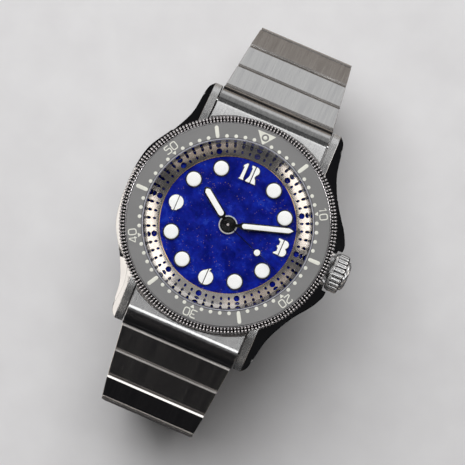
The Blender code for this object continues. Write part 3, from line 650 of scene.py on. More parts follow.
def case_section(y, side, reach=None):
    """The case's section on one side: facet, bevel, leaning flank and underside."""
    place_y = abs(y)
    outer = outer_x(y, side) if reach is None else reach
    top = value_at(TOP_LINE, place_y)
    under = value_at(UNDER_LINE, place_y)
    hidden = math.sqrt(max(BEZEL_EDGE ** 2 - place_y ** 2, 0.0))
    inner = LUG_IN if place_y > 12.9 else math.sqrt(RING_IN ** 2 - place_y ** 2)
    lean = min(1.5, max(0.0, (21.8 - place_y) * 0.2))
    edge = outer - 0.06
    facet = min(max(LUG_FACET, hidden), outer - 0.12)
    shoulder = max(facet + 0.06, min(edge, outer - lean, facet + 1.0) if place_y > 12 else edge)
    shoulder = max(shoulder, min(outer - lean, edge))
    drop = min(1.25 * (shoulder - facet), 1.9) if place_y < 12 else min(shoulder - facet, 1.5)
    middle = max(under + 1.0, min(3.6, top - drop - 0.7))
    middle = min(middle, top - drop - 0.05)
    chamfer = min(0.6, outer - inner - 0.3)
    line = [(inner, top), (facet, top), (shoulder, top - drop), (outer, middle)]
    line += [(outer, under + chamfer * 0.9), (outer - chamfer, under), (inner, under)]
    return [(side * x, y, z) for x, z in soft_corners(line, 0.09, 2)]


def case_side(side):
    """One side of the middle case, lofted from lug tip to lug tip."""
    steps = range(-SIDE_STEPS, SIDE_STEPS + 1)
    places = [LUG_TIP * math.sin(math.pi / 2 * step / SIDE_STEPS) for step in steps]
    rows = [(y, None) for y in places if side < 0 or abs(y) >= GUARD_Y]
    if side > 0:
        half = len(rows) // 2
        crown_gap = [(-GUARD_Y, None), (-GUARD_Y, RECESS_X), (GUARD_Y, RECESS_X), (GUARD_Y, None)]
        rows[half:half] = crown_gap
    rings = [case_section(y, side, reach) for y, reach in rows]
    count = len(rings[0])
    faces = []
    for a in range(0, (len(rings) - 1) * count, count):
        b = a + count
        for row in range(count):
            following = (row + 1) % count
            faces.append((a + row, a + following, b + following, b + row))
    faces.append(tuple(range(count)))
    faces.append(tuple(range((len(rings) - 1) * count, len(rings) * count)))
    return new_mesh("case_side", [point for ring in rings for point in ring], faces)


def make_case():
    """Middle case: two lofted sides and the turned ring that carries the bezel."""
    ring = [(15.8, 10.28), (15.8, 9.85), (16.5, 9.85), (16.5, CASE_TOP), (18.2, CASE_TOP)]
    ring += [(18.2, CASE_FLOOR), (15.3, CASE_FLOOR), (15.3, 9.9), (15.42, 10.28)]
    body = combine(lathe("case_ring", ring, 160), [case_side(-1), case_side(1)], "UNION")
    drill = [(0, 14.5), (0.5, 14.5), (0.5, -14.5), (0, -14.5)]
    holes = []
    for bar_y in (-BAR_Y, BAR_Y):
        holes.append(moved(lathe("case_drill", drill, 20, closed=False), lie_along_x(bar_y, BAR_Z)))
    body = pick(combine(body, holes, "DIFFERENCE"), on_lug_facet)
    place("mid_case_body", body, [POLISHED, BRUSHED_CASE], "watch_case", ["mid_case"], sharp=24.0, flat=True)


def on_lug_facet(face):
    """True for the brushed top facet of a lug."""
    x, y, z = face.center / MM
    return face.normal.z > 0.6 and abs(x) < LUG_FACET + 0.01 and abs(y) > 10 and z > 3.0


def make_case_back():
    """Screwed case back with a stepped rim, six key slots and turned rings."""
    profile = [(0, 0.06), (5.6, 0.06), (5.7, 0.14), (5.9, 0.14), (6.0, 0.04), (10.9, 0.04), (11.0, 0.16)]
    profile += [(11.4, 0.16), (11.5, 0.0), (15.1, 0.0), (15.35, 0.08), (15.95, 0.5), (15.97, 0.6)]
    profile += [(15.97, 1.2), (14.3, 1.2), (0, 1.2)]
    back = lathe("case_back_turned", profile, 168, closed=False)
    outline = [(-0.9, -2.0), (0.9, -2.0)] + arc(0.9, 9, (0, 0.6), 0, 180)
    slots = []
    for angle in range(30, 390, 60):
        at = shift(*polar(14.2, angle)) @ clock_turn(angle + 180)
        slots.append(moved(filled("key_slot", [outline], -0.6, 0.55), at))
    back = combine(back, slots, "DIFFERENCE")
    place("case_back_screwed", rounded(back, 0.04), TURNED, "watch_case", ["case_back"], sharp=30.0)


# ---- bezel

TEETH = 192
TOOTH_STEPS = 8
TOOTH_POWER = 0.9
FLUTES = 22
FLUTE_STEPS = 10
FLUTE_POWER = 0.45


def ridge(angle, count, power):
    """How far out of its groove a tooth or a ridge stands at an angle, from 0 to 1."""
    phase = (angle * count / (2 * math.pi)) % 1.0
    return max(0.0, math.sin(math.pi * phase)) ** power


def make_bezel():
    """Coin-edged bezel: a row of beads, a groove, and a row that runs down the wall, with black painted
    shade between the teeth and in the grooves.
    """
    top = high_mm("bezel").z
    low = low_mm("bezel").z
    outline = [(18.24, top - 0.03), (18.31, top), (18.36, top - 0.01), (18.46, top), (18.66, top - 0.03)]
    outline += [(18.80, top - 0.14), (18.86, top - 0.34), (18.92, top - 0.34), (18.97, top - 0.22)]
    outline += [(19.16, top - 0.20), (19.36, top - 0.33), (19.48, top - 0.60), (19.50, top - 0.9)]
    outline += [(19.50, low + 0.55), (19.42, low + 0.32), (19.10, low), (16.62, low), (16.62, 9.95)]
    outline += [(15.92, 9.95), (15.92, 10.33), (18.22, 10.33)]
    # How far each of these points sinks between two teeth, inwards and down.
    depths = [(0.1, 0.20), (0.0, 0.36), (0.0, 0.36), (0.1, 0.3), (0.1, 0.1), (0.1, 0.1), (0.2, 0.25)]
    depths += [(0.3, 0.35), (0.34, 0.3), (0.34, 0.1), (0.34, 0), (0.34, 0), (0.25, 0)]
    first_cut = 2

    def cut(index, angle, radius, height):
        if not first_cut <= index < first_cut + len(depths):
            return radius, height
        inward, down = depths[index - first_cut]
        gap = 1.0 - ridge(angle, TEETH, TOOTH_POWER)
        return radius - inward * gap, height - down * gap

    mesh = lathe("bezel_coin_edge", outline, TEETH * TOOTH_STEPS, wave=cut)

    # Faces between the teeth and in the grooves between the rows get black painted shade.
    def in_gap(face):
        radius = face.center.xy.length / MM
        around = math.atan2(face.center.y, face.center.x) % (2 * math.pi)
        row_edge = 18.31 < radius < 18.46 or 18.81 < radius < 18.96
        deep = row_edge or ridge(around, TEETH, TOOTH_POWER) < 0.6
        return radius > 18.31 and face.center.z > (low + 0.3) * MM and deep

    place("bezel_coin_edge", pick(mesh, in_gap), [BEADS, PAINTED_GROOVE_SHADE], "bezel", ["bezel"], sharp=50.0)


def make_insert():
    """Satin insert with raised marks and a domed pearl in a small cup."""
    top = high_mm("bezel_insert").z
    floor = low_mm("bezel_insert").z
    profile = [(18.15, floor), (18.14, top - 0.09), (18.05, top), (15.5, top), (15.42, top - 0.08)]
    ring = lathe("insert", profile + [(15.44, floor)], 240)
    place("bezel_insert_ring", ring, GREY, "bezel", ["bezel_insert"])
    marks = []
    for minute in range(1, 60):
        angle = 6 * minute
        if minute % 5:
            marks.append(insert_mark([arc(0.335, 20, polar(15.78, angle))], top))
        elif minute % 10:
            marks.append(moved(insert_mark([FIVE_MINUTE_BAR], top), clock_turn(angle)))
        else:
            marks += insert_number(minute, angle, top)
    triangle = soft_corners([(-1.77, 17.66), (1.77, 17.66), (0, 15.42)], 0.16)
    marks.append(insert_mark([triangle, arc(0.66, 40, (0, 16.8))], top))
    place("bezel_insert_marks", joined("insert_marks", marks), CREAM, "bezel", slot="bezel_insert")
    at = shift(y=middle_mm("bezel_pearl", 1))
    cup = [(0.66, top + 0.005), (0.6, top + 0.045), (0.46, top + 0.045), (0.42, top - 0.1)]
    cup = moved(lathe("pearl_cup", cup + [(0.66, top - 0.1)], 40), at)
    place("bezel_pearl_cup", cup, GREY, "bezel", slot="bezel_pearl")
    dome = [(0, top + 0.08), (0.16, top + 0.07), (0.28, top + 0.045), (0.36, top), (0.37, top - 0.1)]
    dome = moved(lathe("pearl", dome + [(0, top - 0.1)], 32, closed=False), at)
    place("bezel_pearl_dome", dome, CREAM, "bezel", ["bezel_pearl"])


FIVE_MINUTE_BAR = [(-0.2, 15.52), (0.2, 15.52), (0.33, 15.85), (0.35, 17.3)]
FIVE_MINUTE_BAR += arc(0.35, 8, (0, 17.42), 0, 180) + [(-0.35, 17.3), (-0.33, 15.85)]
FIVE_MINUTE_BAR = soft_corners(FIVE_MINUTE_BAR, 0.1, 2)


def insert_mark(loops, top):
    """A raised mark on the insert."""
    return filled("mark", loops, top - 0.02, top + 0.022, 0.01)


DIGIT_WIDE = 0.98
DIGIT_HIGH = 1.34
DIGIT_FOOT = 16.36
DIGIT_GAP = 0.34
DIGIT_LINE = 0.2
DIGIT_RISE = 0.024


def open_line(points, radius):
    """An open line with soft corners, as digit_lines gives it."""
    return soft_corners(points, radius, closed=False), False


def digit_lines(digit):
    """A digit as lines in a box from (0, 0) to (1, 1); each line is (points, closed)."""
    ring = soft_corners([(0, 0), (1, 0), (1, 1), (0, 1)], 0.32, 4)
    two = [(0, 0.78), (0.08, 1), (0.95, 1), (1, 0.62), (0.5, 0.38), (0, 0.22), (0, 0), (1, 0)]
    three_top = [(0, 0.95), (0.1, 1), (1, 1), (1, 0.54), (0.3, 0.54)]
    three_foot = [(0.6, 0.54), (1, 0.54), (1, 0), (0.1, 0), (0, 0.05)]
    four = [(0.74, 0.0), (0.74, 1.0), (0.6, 1.0), (0.0, 0.3), (0.0, 0.24), (1.0, 0.24)]
    five = [(0.94, 1), (0.05, 1), (0.05, 0.58), (1, 0.6), (1, 0), (0.1, 0), (0, 0.1)]
    lines = {
        "0": [(ring, True)],
        "1": [([(0.35, 0.78), (0.68, 1.0), (0.68, 0.0)], False)],
        "2": [open_line(two, 0.2)],
        "3": [open_line(three_top, 0.24), open_line(three_foot, 0.24)],
        "4": [(four, False)],
        "5": [open_line(five, 0.2)],
    }
    return lines[digit]


def insert_number(minute, angle, top):
    """Two outlined digits that stand outwards, over a small triangle."""
    marks = []
    for digit, left in zip(str(minute), (-DIGIT_WIDE - DIGIT_GAP / 2, DIGIT_GAP / 2)):
        for points, closed in digit_lines(digit):
            line = [(left + x * DIGIT_WIDE, DIGIT_FOOT + y * DIGIT_HIGH) for x, y in points]
            marks.append(moved(stroke("digit", line, DIGIT_LINE, DIGIT_RISE, closed), shift(z=top)))
    marks.append(insert_mark([soft_corners([(-0.4, 16.12), (0.4, 16.12), (0, 15.46)], 0.08, 2)], top))
    return [moved(mark, clock_turn(angle)) for mark in marks]


# ---- crystal, chapter ring and dial


def make_crystal():
    """Domed crystal with a bevelled edge, and its pale gasket."""
    top = high_mm("crystal").z
    floor = low_mm("crystal").z
    radius = high_mm("crystal").x
    dome = [(0.0, top), (4.0, top - 0.02), (8.0, top - 0.09), (11.5, top - 0.2), (14.2, top - 0.33)]
    edge = [(14.27, top - 0.336), (14.33, top - 0.352), (14.38, top - 0.374), (14.42, top - 0.398)]
    edge += [(14.95, top - 0.78), (15.0, top - 0.83), (radius, top - 0.93)]
    edge += [(radius, floor + 0.1), (radius - 0.1, floor), (0, floor)]
    dome = lathe("crystal", smooth_line(dome, 5) + edge, 240, closed=False)
    place("crystal_dome", dome, GLASS, "watch_case", ["crystal"], sharp=20.0)
    outer = -low_mm("crystal_gasket").x
    inner = outer - 0.2
    low = low_mm("crystal_gasket").z
    high = high_mm("crystal_gasket").z
    ring = [(inner + 0.04, high), (outer - 0.05, high), (outer, high - 0.08), (outer, low)]
    ring += [(inner, low), (inner, high - 0.05)]
    place("crystal_gasket_ring", lathe("gasket", ring, 240), NYLON, "watch_case", ["crystal_gasket"])


CHAPTER_IN = 12.2
CHAPTER_OUT = 15.05
CELL = 6.0
HOLE_LEAN = 0.16


def chapter_height(radius, low, high):
    """The chapter ring's surface: a cone that grows steeper towards the crystal."""
    share = (radius - CHAPTER_IN) / (CHAPTER_OUT - CHAPTER_IN)
    return low + (high - low) * (0.82 * share + 0.18 * share * share)


def chapter_cell(index):
    """One minute of the chapter ring, flat, with its stacked holes."""
    half = CELL / 2
    outer = [polar(CHAPTER_OUT, -half + CELL * step / 4) for step in range(5)]
    inner = [polar(CHAPTER_IN, half - CELL * step / 4) for step in range(5)]
    if index % 5 == 0:
        holes = [arc(0.53, 20, (0, 13.15)), arc(0.52, 20, (0, 14.28))]
    else:
        holes = [oval(0.23, 0.32, 14, 13.08), oval(0.26, 0.42, 16, 14.12)]
    return outer + inner, holes


def make_chapter_ring():
    """Perforated chapter ring: sixty cells with stacked holes, wrapped onto a cone; the hole walls get black
    painted shade.
    """
    low = low_mm("rehaut_ring").z + 0.1
    high = high_mm("rehaut_ring").z
    cells = []
    for index in range(60):
        outline, holes = chapter_cell(index)
        cell = filled("chapter_cell", [outline] + holes, -0.32, 0.0)
        work = bmesh.new()
        work.from_mesh(cell)
        seams = [face for face in work.faces if abs(face.normal.z) < 0.5 and on_seam(face)]
        bmesh.ops.delete(work, geom=seams, context="FACES")
        long_edges = [edge for edge in work.edges if edge.calc_length() > 0.5 * MM]
        bmesh.ops.subdivide_edges(work, edges=long_edges, cuts=1)
        bmesh.ops.triangulate(work, faces=work.faces)
        # Walls of the holes get the black material as painted shade; the top stays warm steel.
        for face in work.faces:
            face.material_index = 1 if abs(face.normal.z) < 0.5 else 0
        work.to_mesh(cell)
        work.free()
        cells.append(moved(cell, clock_turn(CELL * index)))
    ring = joined("chapter_ring", cells)
    for vertex in ring.vertices:
        radius = math.hypot(vertex.co.x, vertex.co.y) / MM
        if vertex.co.z < -0.1 * MM and radius < CHAPTER_OUT - 0.1:
            vertex.co.xy *= (radius + HOLE_LEAN) / radius
        vertex.co.z += chapter_height(radius, low, high) * MM
    ring = tidy(ring, 2e-6)
    placed = place("chapter_ring", ring, [WARM, BLACK], "watch_case", ["rehaut_ring"])
    cone_normals(placed.data, low, high)
    lip = [(CHAPTER_IN + 0.05, low + 0.06), (CHAPTER_IN + 0.12, low - 0.02), (CHAPTER_IN + 0.1, low - 0.14)]
    lip += [(CHAPTER_IN - 0.02, low - 0.14), (CHAPTER_IN - 0.03, low)]
    place("chapter_ring_lip", lathe("chapter_lip", lip, 240), BRASS, "watch_case", slot="rehaut_ring")


def cone_normals(mesh, low, high):
    """Shades the chapter ring as a smooth cone with flat walls in its holes."""
    step = 0.01
    normals = []
    for face in mesh.polygons:
        for index in face.vertices:
            point = mesh.vertices[index].co
            radius = point.xy.length / MM
            ends = [chapter_height(radius + sign * step, low, high) for sign in (-1, 1)]
            rise = (ends[1] - ends[0]) / (2 * step)
            outwards = point.xy.normalized()
            slope = Vector((*(-rise * outwards), 1.0)).normalized()
            facing = face.normal.dot(slope)
            normals.append(slope * math.copysign(1.0, facing) if abs(facing) > 0.8 else face.normal.copy())
    mesh.normals_split_custom_set(normals)


def on_seam(face):
    """True for a wall between two neighbouring cells."""
    x, y = face.calc_center_median().xy / MM
    turn = math.degrees(math.atan2(x, y))
    return abs(abs(turn) - CELL / 2) < 0.05


def make_markers():
    """Round applied markers: a dark cup with a low dome of lume."""
    for hour in (1, 2, 4, 5, 7, 8, 10, 11):
        node = f"hour_marker_{hour:02d}"
        low = low_mm(node).z
        tall = high_mm(node).z - low
        at = shift(middle_mm(node, 0), middle_mm(node, 1), low)
        cup = [(1.53, 0.0), (1.53, tall - 0.18), (1.49, tall - 0.06), (1.43, tall), (1.38, tall)]
        cup += [(1.32, tall - 0.05), (1.285, tall - 0.12), (1.285, 0.0)]
        fill = [(0, tall - 0.01), (0.6, tall - 0.018), (1.05, tall - 0.035), (1.23, tall - 0.07)]
        fill += [(1.28, tall - 0.12), (1.28, 0.05), (0, 0.05)]
        place(f"{node}_cup", lathe("cup", cup[::-1], 56), RIM, "watch_case", [node], at=at)
        place(f"{node}_lume", lathe("fill", fill, 56, closed=False), WHITE, "watch_case", slot=node, at=at)


def numeral_shapes():
    """The white fields of the stencil numerals, in the dial's plane."""
    one = [(-1.62, 10.62), (-1.5, 10.98), (-1.3, 11.18), (-1.1, 11.42), (-0.82, 11.42), (-0.82, 8.62)]
    one += [(-0.7, 8.38), (-1.62, 8.38), (-1.42, 8.62), (-1.36, 10.7)]
    two_left = [(-0.3, 8.36), (0.5, 8.36), (0.5, 11.42), (-0.12, 11.42), (-0.12, 11.1), (0.1, 10.95)]
    two_left += [(0.1, 9.5), (-0.05, 9.0), (-0.3, 8.6)]
    two_right = [(0.68, 11.42)] + arc(0.78, 9, (0.72, 10.65), 84, -140)
    two_right += [(0.98, 9.55), (1.3, 9.1), (1.55, 8.36), (0.68, 8.36)]
    three_left = [(9.3, 1.42), (10.2, 1.42), (10.2, -1.42), (9.25, -1.42), (9.3, -1.2), (9.72, -0.9)]
    three_left += [(9.72, -0.25), (9.45, -0.12), (9.45, 0.12), (9.72, 0.25), (9.72, 0.95), (9.3, 1.2)]
    three_right = [(10.36, 1.45)] + arc(0.74, 9, (10.62, 0.72), 82, -140)
    three_right += arc(0.76, 9, (10.68, -0.7), 62, -150) + [(10.36, -1.46)]
    six_left = arc(1.28, 17, (0.02, -10.1), 264, -150) + [(-0.34, -8.76), (-0.12, -8.62)]
    six_right = [(0.03, -8.5), (0.42, -8.36), (0.28, -8.62), (0.24, -8.98)]
    six_right += arc(1.28, 19, (0.08, -10.1), 78, -170) + [(0.03, -11.38)]
    nine_left = [(-9.98, 1.4)] + arc(1.28, 19, (-10.06, 0.12), 94, 158)
    nine_left += [(-10.42, -1.1), (-10.42, -1.34), (-10.1, -1.42), (-9.98, -1.36)]
    nine_right = arc(1.28, 15, (-10.06, 0.12), 80, -140) + [(-9.42, -1.18), (-9.82, -1.28), (-9.82, 1.38)]
    return {
        "numeral_12": [one, two_left, two_right],
        "numeral_3": [three_left, three_right],
        "numeral_6": [six_left, six_right],
        "numeral_9": [nine_left, nine_right],
    }


def outline_area(points):
    """The signed area of an outline."""
    return sum(a[0] * b[1] - b[0] * a[1] for a, b in zip(points, points[1:] + points[:1])) / 2


def grown(points, amount):
    """An outline moved outwards by an amount."""
    sign = 1 if outline_area(points) > 0 else -1
    result = []
    for before, here, after in zip(points[-1:] + points[:-1], points, points[1:] + points[:1]):
        here = Vector(here)
        one = (here - Vector(before)).normalized()
        two = (Vector(after) - here).normalized()
        middle = Vector((one.y, -one.x)) * sign + Vector((two.y, -two.x)) * sign
        length = max(middle.length, 0.9)
        result.append(tuple(here + middle / length ** 2 * 2 * amount))
    return result


def make_numerals():
    """Applied numerals: a dark rim round each white field."""
    for node, fields in numeral_shapes().items():
        low = low_mm(node).z
        high = high_mm(node).z
        rims = []
        fills = []
        for field in fields:
            soft = soft_corners(field, 0.07, 2)
            rims.append(filled("rim", [grown(soft, 0.11)], low, high - 0.05, 0.03))
            fills.append(filled("fill", [soft], low + 0.1, high, 0.025))
        rim = rims[0]
        for extra in rims[1:]:
            rim = combine(rim, [extra], "UNION")
        place(f"{node}_rim", rim, RIM, "watch_case", [node])
        place(f"{node}_lume", joined("numeral_fill", fills), WHITE, "watch_case", slot=node)


def show_node(node, look):
    """Gives a CAD node that stays a procedural material."""
    obj = NODES[node]
    obj.data.materials.clear()
    obj.data.materials.append(look)


# ---- hands


def hand_shape(length, half, neck, body_start, hub, tip_half, tip):
    """A hand that points along +Y: hub, narrow neck, broad body and a tip."""
    turn = math.degrees(math.asin(neck / hub))
    round_hub = arc(hub, 40, start=90 + turn, sweep=360 - 2 * turn)
    right = [(neck, body_start - 0.55), (half, body_start), (half, length - tip), (tip_half, length)]
    return round_hub + right + [(-x, y) for x, y in reversed(right)]


def lume_shape(start, end, half, tip, tip_half):
    """The lume field of a hand, round by the hub and pointed at the tip."""
    point = [(half, end - tip), (tip_half, end), (-tip_half, end), (-half, end - tip)]
    return arc(half, 9, (0, start + half), 180, 180) + point


def make_hand(body, outline, low, high, field, hole=None):
    """A black hand on its pipe, with its lume in a recess."""
    turn = clock_turn(hand_angle(body))
    loops = [outline] + ([arc(hole, 24)] if hole else [])
    frame_mesh = filled(body, loops, low, high, 0.03, 2)
    place(f"{body}_frame", moved(frame_mesh, turn), BLACK, body, [body])
    inlay = filled(f"{body}_inlay", [field], low + 0.05, high + 0.012, 0.012)
    place(f"{body}_lume", moved(inlay, turn), WHITE, body, slot=body)


def hand_angle(node):
    """A hand's clock angle, from the farthest point of its CAD shape."""
    tip = max(NODES[node].data.vertices, key=lambda vertex: vertex.co.xy.length).co
    return math.degrees(math.atan2(tip.x, tip.y))


def make_hands():
    """The three hands with their pipes and the bright centre pin."""
    hour = hand_shape(7.8, 0.75, 0.32, 2.0, 1.2, 0.22, 0.62)
    hour_low = 8.5
    hour_field = lume_shape(1.95, 7.45, 0.5, 0.42, 0.13)
    make_hand("hour_hand", hour, hour_low, hour_low + 0.2, hour_field, 0.62)
    minute = hand_shape(11.9, 0.66, 0.28, 2.5, 1.0, 0.05, 0.95)
    minute_low = 8.9
    minute_field = lume_shape(2.5, 11.66, 0.43, 0.75, 0.03)
    make_hand("minute_hand", minute, minute_low, minute_low + 0.18, minute_field, 0.34)
    seconds_low = 9.25
    turn = math.degrees(math.asin(0.1 / 0.62))
    needle = arc(0.62, 30, start=90 + turn, sweep=360 - 2 * turn)
    disc = arc(0.68, 24, (0, 7.15), start=-82, sweep=164)
    needle += [(0.08, 6.46)] + disc + [(0.07, 7.84), (0.035, 12.0), (-0.035, 12.0), (-0.07, 7.84)]
    needle += [(-x, y) for x, y in reversed(disc)] + [(-0.08, 6.46)]
    field = arc(0.56, 32, (0, 7.15))
    make_hand("seconds_hand", needle, seconds_low, seconds_low + 0.14, field)
    collar = [(1.68, 8.52), (1.62, 8.6), (1.5, 8.6), (1.44, 8.5), (1.5, 8.36), (1.64, 8.36)]
    place("hour_hand_collar", lathe("collar", collar, 64), SATIN, "hour_hand", slot="hour_hand")
    web = [(1.5, 8.5), (1.1, 8.5), (1.1, 8.4), (1.5, 8.4)]
    place("hour_hand_web", lathe("web", web, 48), BLACK, "hour_hand", slot="hour_hand")
    for body, inner, outer, high in (("hour_hand", 0.62, 0.8, 8.72), ("minute_hand", 0.34, 0.52, 9.12)):
        low = low_mm(body).z
        pipe = [(inner, low), (inner, high), (outer, high), (outer, low)]
        place(f"{body}_pipe", lathe("pipe", pipe, 36), BLACK, body, slot=body)
    foot = low_mm("seconds_hand").z
    pin = [(0, 9.44), (0.16, 9.44), (0.22, 9.41), (0.24, 9.36), (0.24, foot), (0, foot)]
    pin = lathe("pin", pin, 24, closed=False)
    place("seconds_hand_pin", pin, MIRROR, "seconds_hand", slot="seconds_hand")


# ---- crown


def make_crown():
    """Fluted crown with a stepped, domed end cap; the hollows of the flutes get black painted shade."""
    start = low_mm("crown").x
    end = high_mm("crown").x
    skirt = 3.58
    outline = [(0, end), (1.2, end - 0.03), (2.05, end - 0.14), (2.3, end - 0.24), (2.36, end - 0.36)]
    outline += [(2.6, end - 0.42), (2.66, end - 0.5), (2.66, end - 0.86), (3.2, end - 0.88)]
    outline += [(3.46, end - 0.98), (skirt, end - 1.16), (skirt, start + 0.62), (3.5, start + 0.48)]
    outline += [(3.42, start + 0.42), (3.42, start + 0.3), (3.34, start + 0.12), (3.1, start)]
    outline += [(1.75, start), (1.75, start + 2.0), (0, start + 2.0)]
    # How far these points of the outline sink between two ridges.
    depths = {8: 0.02, 9: 0.2, 10: 0.4, 11: 0.4, 12: 0.3}

    def flute(index, angle, radius, along):
        return radius - depths.get(index, 0.0) * (1.0 - ridge(angle, FLUTES, FLUTE_POWER)), along

    mesh = lathe("crown_fluted", outline, FLUTES * FLUTE_STEPS, closed=False, wave=flute)

    # The hollows of the flutes get black painted shade.
    def in_flute(face):
        radius = face.center.xy.length / MM
        return 3.1 < radius < skirt - 0.14 and start + 0.5 < face.center.z / MM < end - 0.9

    mesh = moved(pick(mesh, in_flute), lie_along_x(0, middle_mm("crown", 2)))
    place("crown_fluted", mesh, [CROWN_STEEL, PAINTED_GROOVE_SHADE], "crown", ["crown"], sharp=40.0)


# ---- bracelet

PITCH = 5.5
LINK_HALF = 1.35
KNUCKLE = 0.72
RELIEF = 0.88
TONGUE = 3.1
SLOT = 3.35
TEMPLATE = 20.0
LINK_GAP = 0.09
LINK_BEVEL = 0.3
BEVEL_ANGLE = 37.0
END_PIVOT_Y = 22.9
END_PIVOT_Z = 2.6


def link_section():
    """A link's section: a plate with polished bevels, a tongue and a knuckle."""
    edge = LINK_HALF - LINK_BEVEL * math.tan(math.radians(BEVEL_ANGLE))
    near = LINK_GAP + LINK_BEVEL
    top = [(LINK_GAP, 0.8), (LINK_GAP, edge), (near, LINK_HALF), (PITCH - near, LINK_HALF)]
    top += [(PITCH - LINK_GAP, edge), (PITCH - LINK_GAP, 0.8)]
    knuckle = arc(KNUCKLE, 14, (PITCH, 0), 97, -215)
    bottom = [(PITCH - 0.95, 0.12 - LINK_HALF), (PITCH - 1.1, -LINK_HALF)]
    bottom += [(1.1, -LINK_HALF), (0.95, 0.12 - LINK_HALF)]
    tongue = arc(KNUCKLE, 14, (0, 0), -62, -215)
    return top + knuckle + bottom + tongue


def relief_section(centre, side):
    """What is cut away round a pivot for the neighbour's knuckle."""
    depth = 1.8
    line = LINK_GAP - 0.01
    reach = math.degrees(math.acos(line / RELIEF))
    round_part = arc(RELIEF, 12, start=-reach, sweep=2 * reach)
    loop = [(-1.6, depth), (-1.6, -depth), (line, -depth)] + round_part + [(line, depth)]
    return [(centre + side * y, z) for y, z in loop]


def link_blank():
    """The link that every link is made from, in its own frame."""
    half = TEMPLATE / 2
    link = bar("link_blank", link_section(), -half, half, 0.1, 2)
    tools = [bar("link_slot", relief_section(PITCH, -1), -SLOT, SLOT)]
    tools.append(bar("tongue_side_1", relief_section(0, 1), TONGUE, half + 1))
    tools.append(bar("tongue_side_2", relief_section(0, 1), -half - 1, -TONGUE))
    tools.append(bar("pin_hole", arc(0.5, 16), -half, half))
    link = combine(link, tools, "DIFFERENCE")
    pin = bar("link_pin", arc(0.36, 16, (PITCH, 0)), -SLOT - 0.8, SLOT + 0.8)
    return pick(combine(link, [pin], "UNION"), on_link_top)


def on_link_top(face):
    """True for the brushed top and underside of a link."""
    return abs(face.normal.z) > 0.97 and abs(abs(face.center.z) / MM - LINK_HALF) < 0.03


def last_direction(node, pivot):
    """The way that the last link of a row points from its pivot, along its largest flat."""
    totals = {}
    for face in NODES[node].data.polygons:
        key = (round(face.normal.y, 2), round(face.normal.z, 2))
        if abs(face.normal.x) < 0.1:
            area, total = totals.get(key, (0.0, Vector()))
            totals[key] = (area + face.area, total + face.normal * face.area)
    normal = max(totals.values(), key=lambda item: item[0])[1].normalized()
    along = Vector((0, normal.z, -normal.y)).normalized()
    middle = (low_mm(node) + high_mm(node)) / 2
    return -along if along.dot(middle - pivot) < 0 else along


def make_links(label, side):
    """One half of the bracelet, each link tapered to its place."""
    names = [name for name in NODES if name.startswith(f"link_{label}_")]
    names.sort(key=lambda name: int(name.split("_")[2]))
    pivots = [pivot_mm(f"{name}_hinge") for name in names]
    halves = [high_mm(name).x for name in names]
    halves.append(halves[-1] - (halves[-2] - halves[-1]))
    blank = link_blank()
    across = Vector((side, 0, 0))
    for index, (node, pivot) in enumerate(zip(names, pivots)):
        is_last = index + 1 == len(names)
        along = last_direction(node, pivot) if is_last else (pivots[index + 1] - pivot).normalized()
        turn = Matrix((across, along, across.cross(along))).transposed().to_4x4()
        mesh = blank.copy()
        for vertex in mesh.vertices:
            share = vertex.co.y / (PITCH * MM)
            width = halves[index] + (halves[index + 1] - halves[index]) * share
            vertex.co.x *= width / (TEMPLATE / 2)
        looks = [BEVEL, BRUSHED_Y]
        place(f"{node}_plate", mesh, looks, node, [node], at=shift(*pivot) @ turn, sharp=28.0, flat=True)


def end_link_section():
    """The end link's section: a flat, a sharp ridge, a roll and a knuckle."""
    roll = arc(4.0, 21, (19.53, 2.51), 84, -58)
    lip = [(23.36, 4.05), (23.38, 3.96), (23.34, 3.88), (23.2, 3.81), (22.95, 3.66)]
    knuckle = arc(KNUCKLE, 14, (END_PIVOT_Y, END_PIVOT_Z), 86, -206)
    return [(15.0, 6.78), (19.8, 6.5)] + roll + lip + knuckle + [(21.6, 1.5), (15.0, 1.5)]


def make_end_link(label, side):
    """A solid end link with a brushed flat, a ridge and a rounded roll."""
    node = f"end_link_{label}"
    half = high_mm(node).x
    body = bar(node, [(side * y, z) for y, z in end_link_section()], -half, half, 0.12, 2)
    cutter = [(0, 12), (25.4, 12), (19.95, 6.55), (19.68, 6.503), (19.58, 6.2), (18.4, 6.0), (18.4, -3)]
    wall = lathe("end_link_wall", cutter + [(0, -3)], 200, closed=False)
    round_part = arc(RELIEF, 16, (0, 0), 40, 230)
    relief = round_part + [(0, -1.8), (1.6, -1.8), (1.6, RELIEF * math.sin(math.radians(40)))]
    relief = [(side * (END_PIVOT_Y + y), END_PIVOT_Z + z) for y, z in relief]
    slot = bar("end_link_slot", relief, -3.55, 3.55)
    hole = bar("end_link_hole", arc(0.85, 24, (side * BAR_Y, BAR_Z)), -14, 14)
    body = combine(body, [wall, slot, hole], "DIFFERENCE")
    pin = bar("end_link_pin", arc(0.42, 16, (side * END_PIVOT_Y, END_PIVOT_Z)), -4.7, 4.7)
    body = combine(body, [pin], "UNION")
    body = pick(body, lambda face: face.normal.z > 0.3 and face.center.z > 4.2 * MM)
    place(f"{node}_body", body, [POLISHED, BRUSHED_Y], "watch_case", [node], sharp=22.0, flat=True)


# ---- light, floor and camera


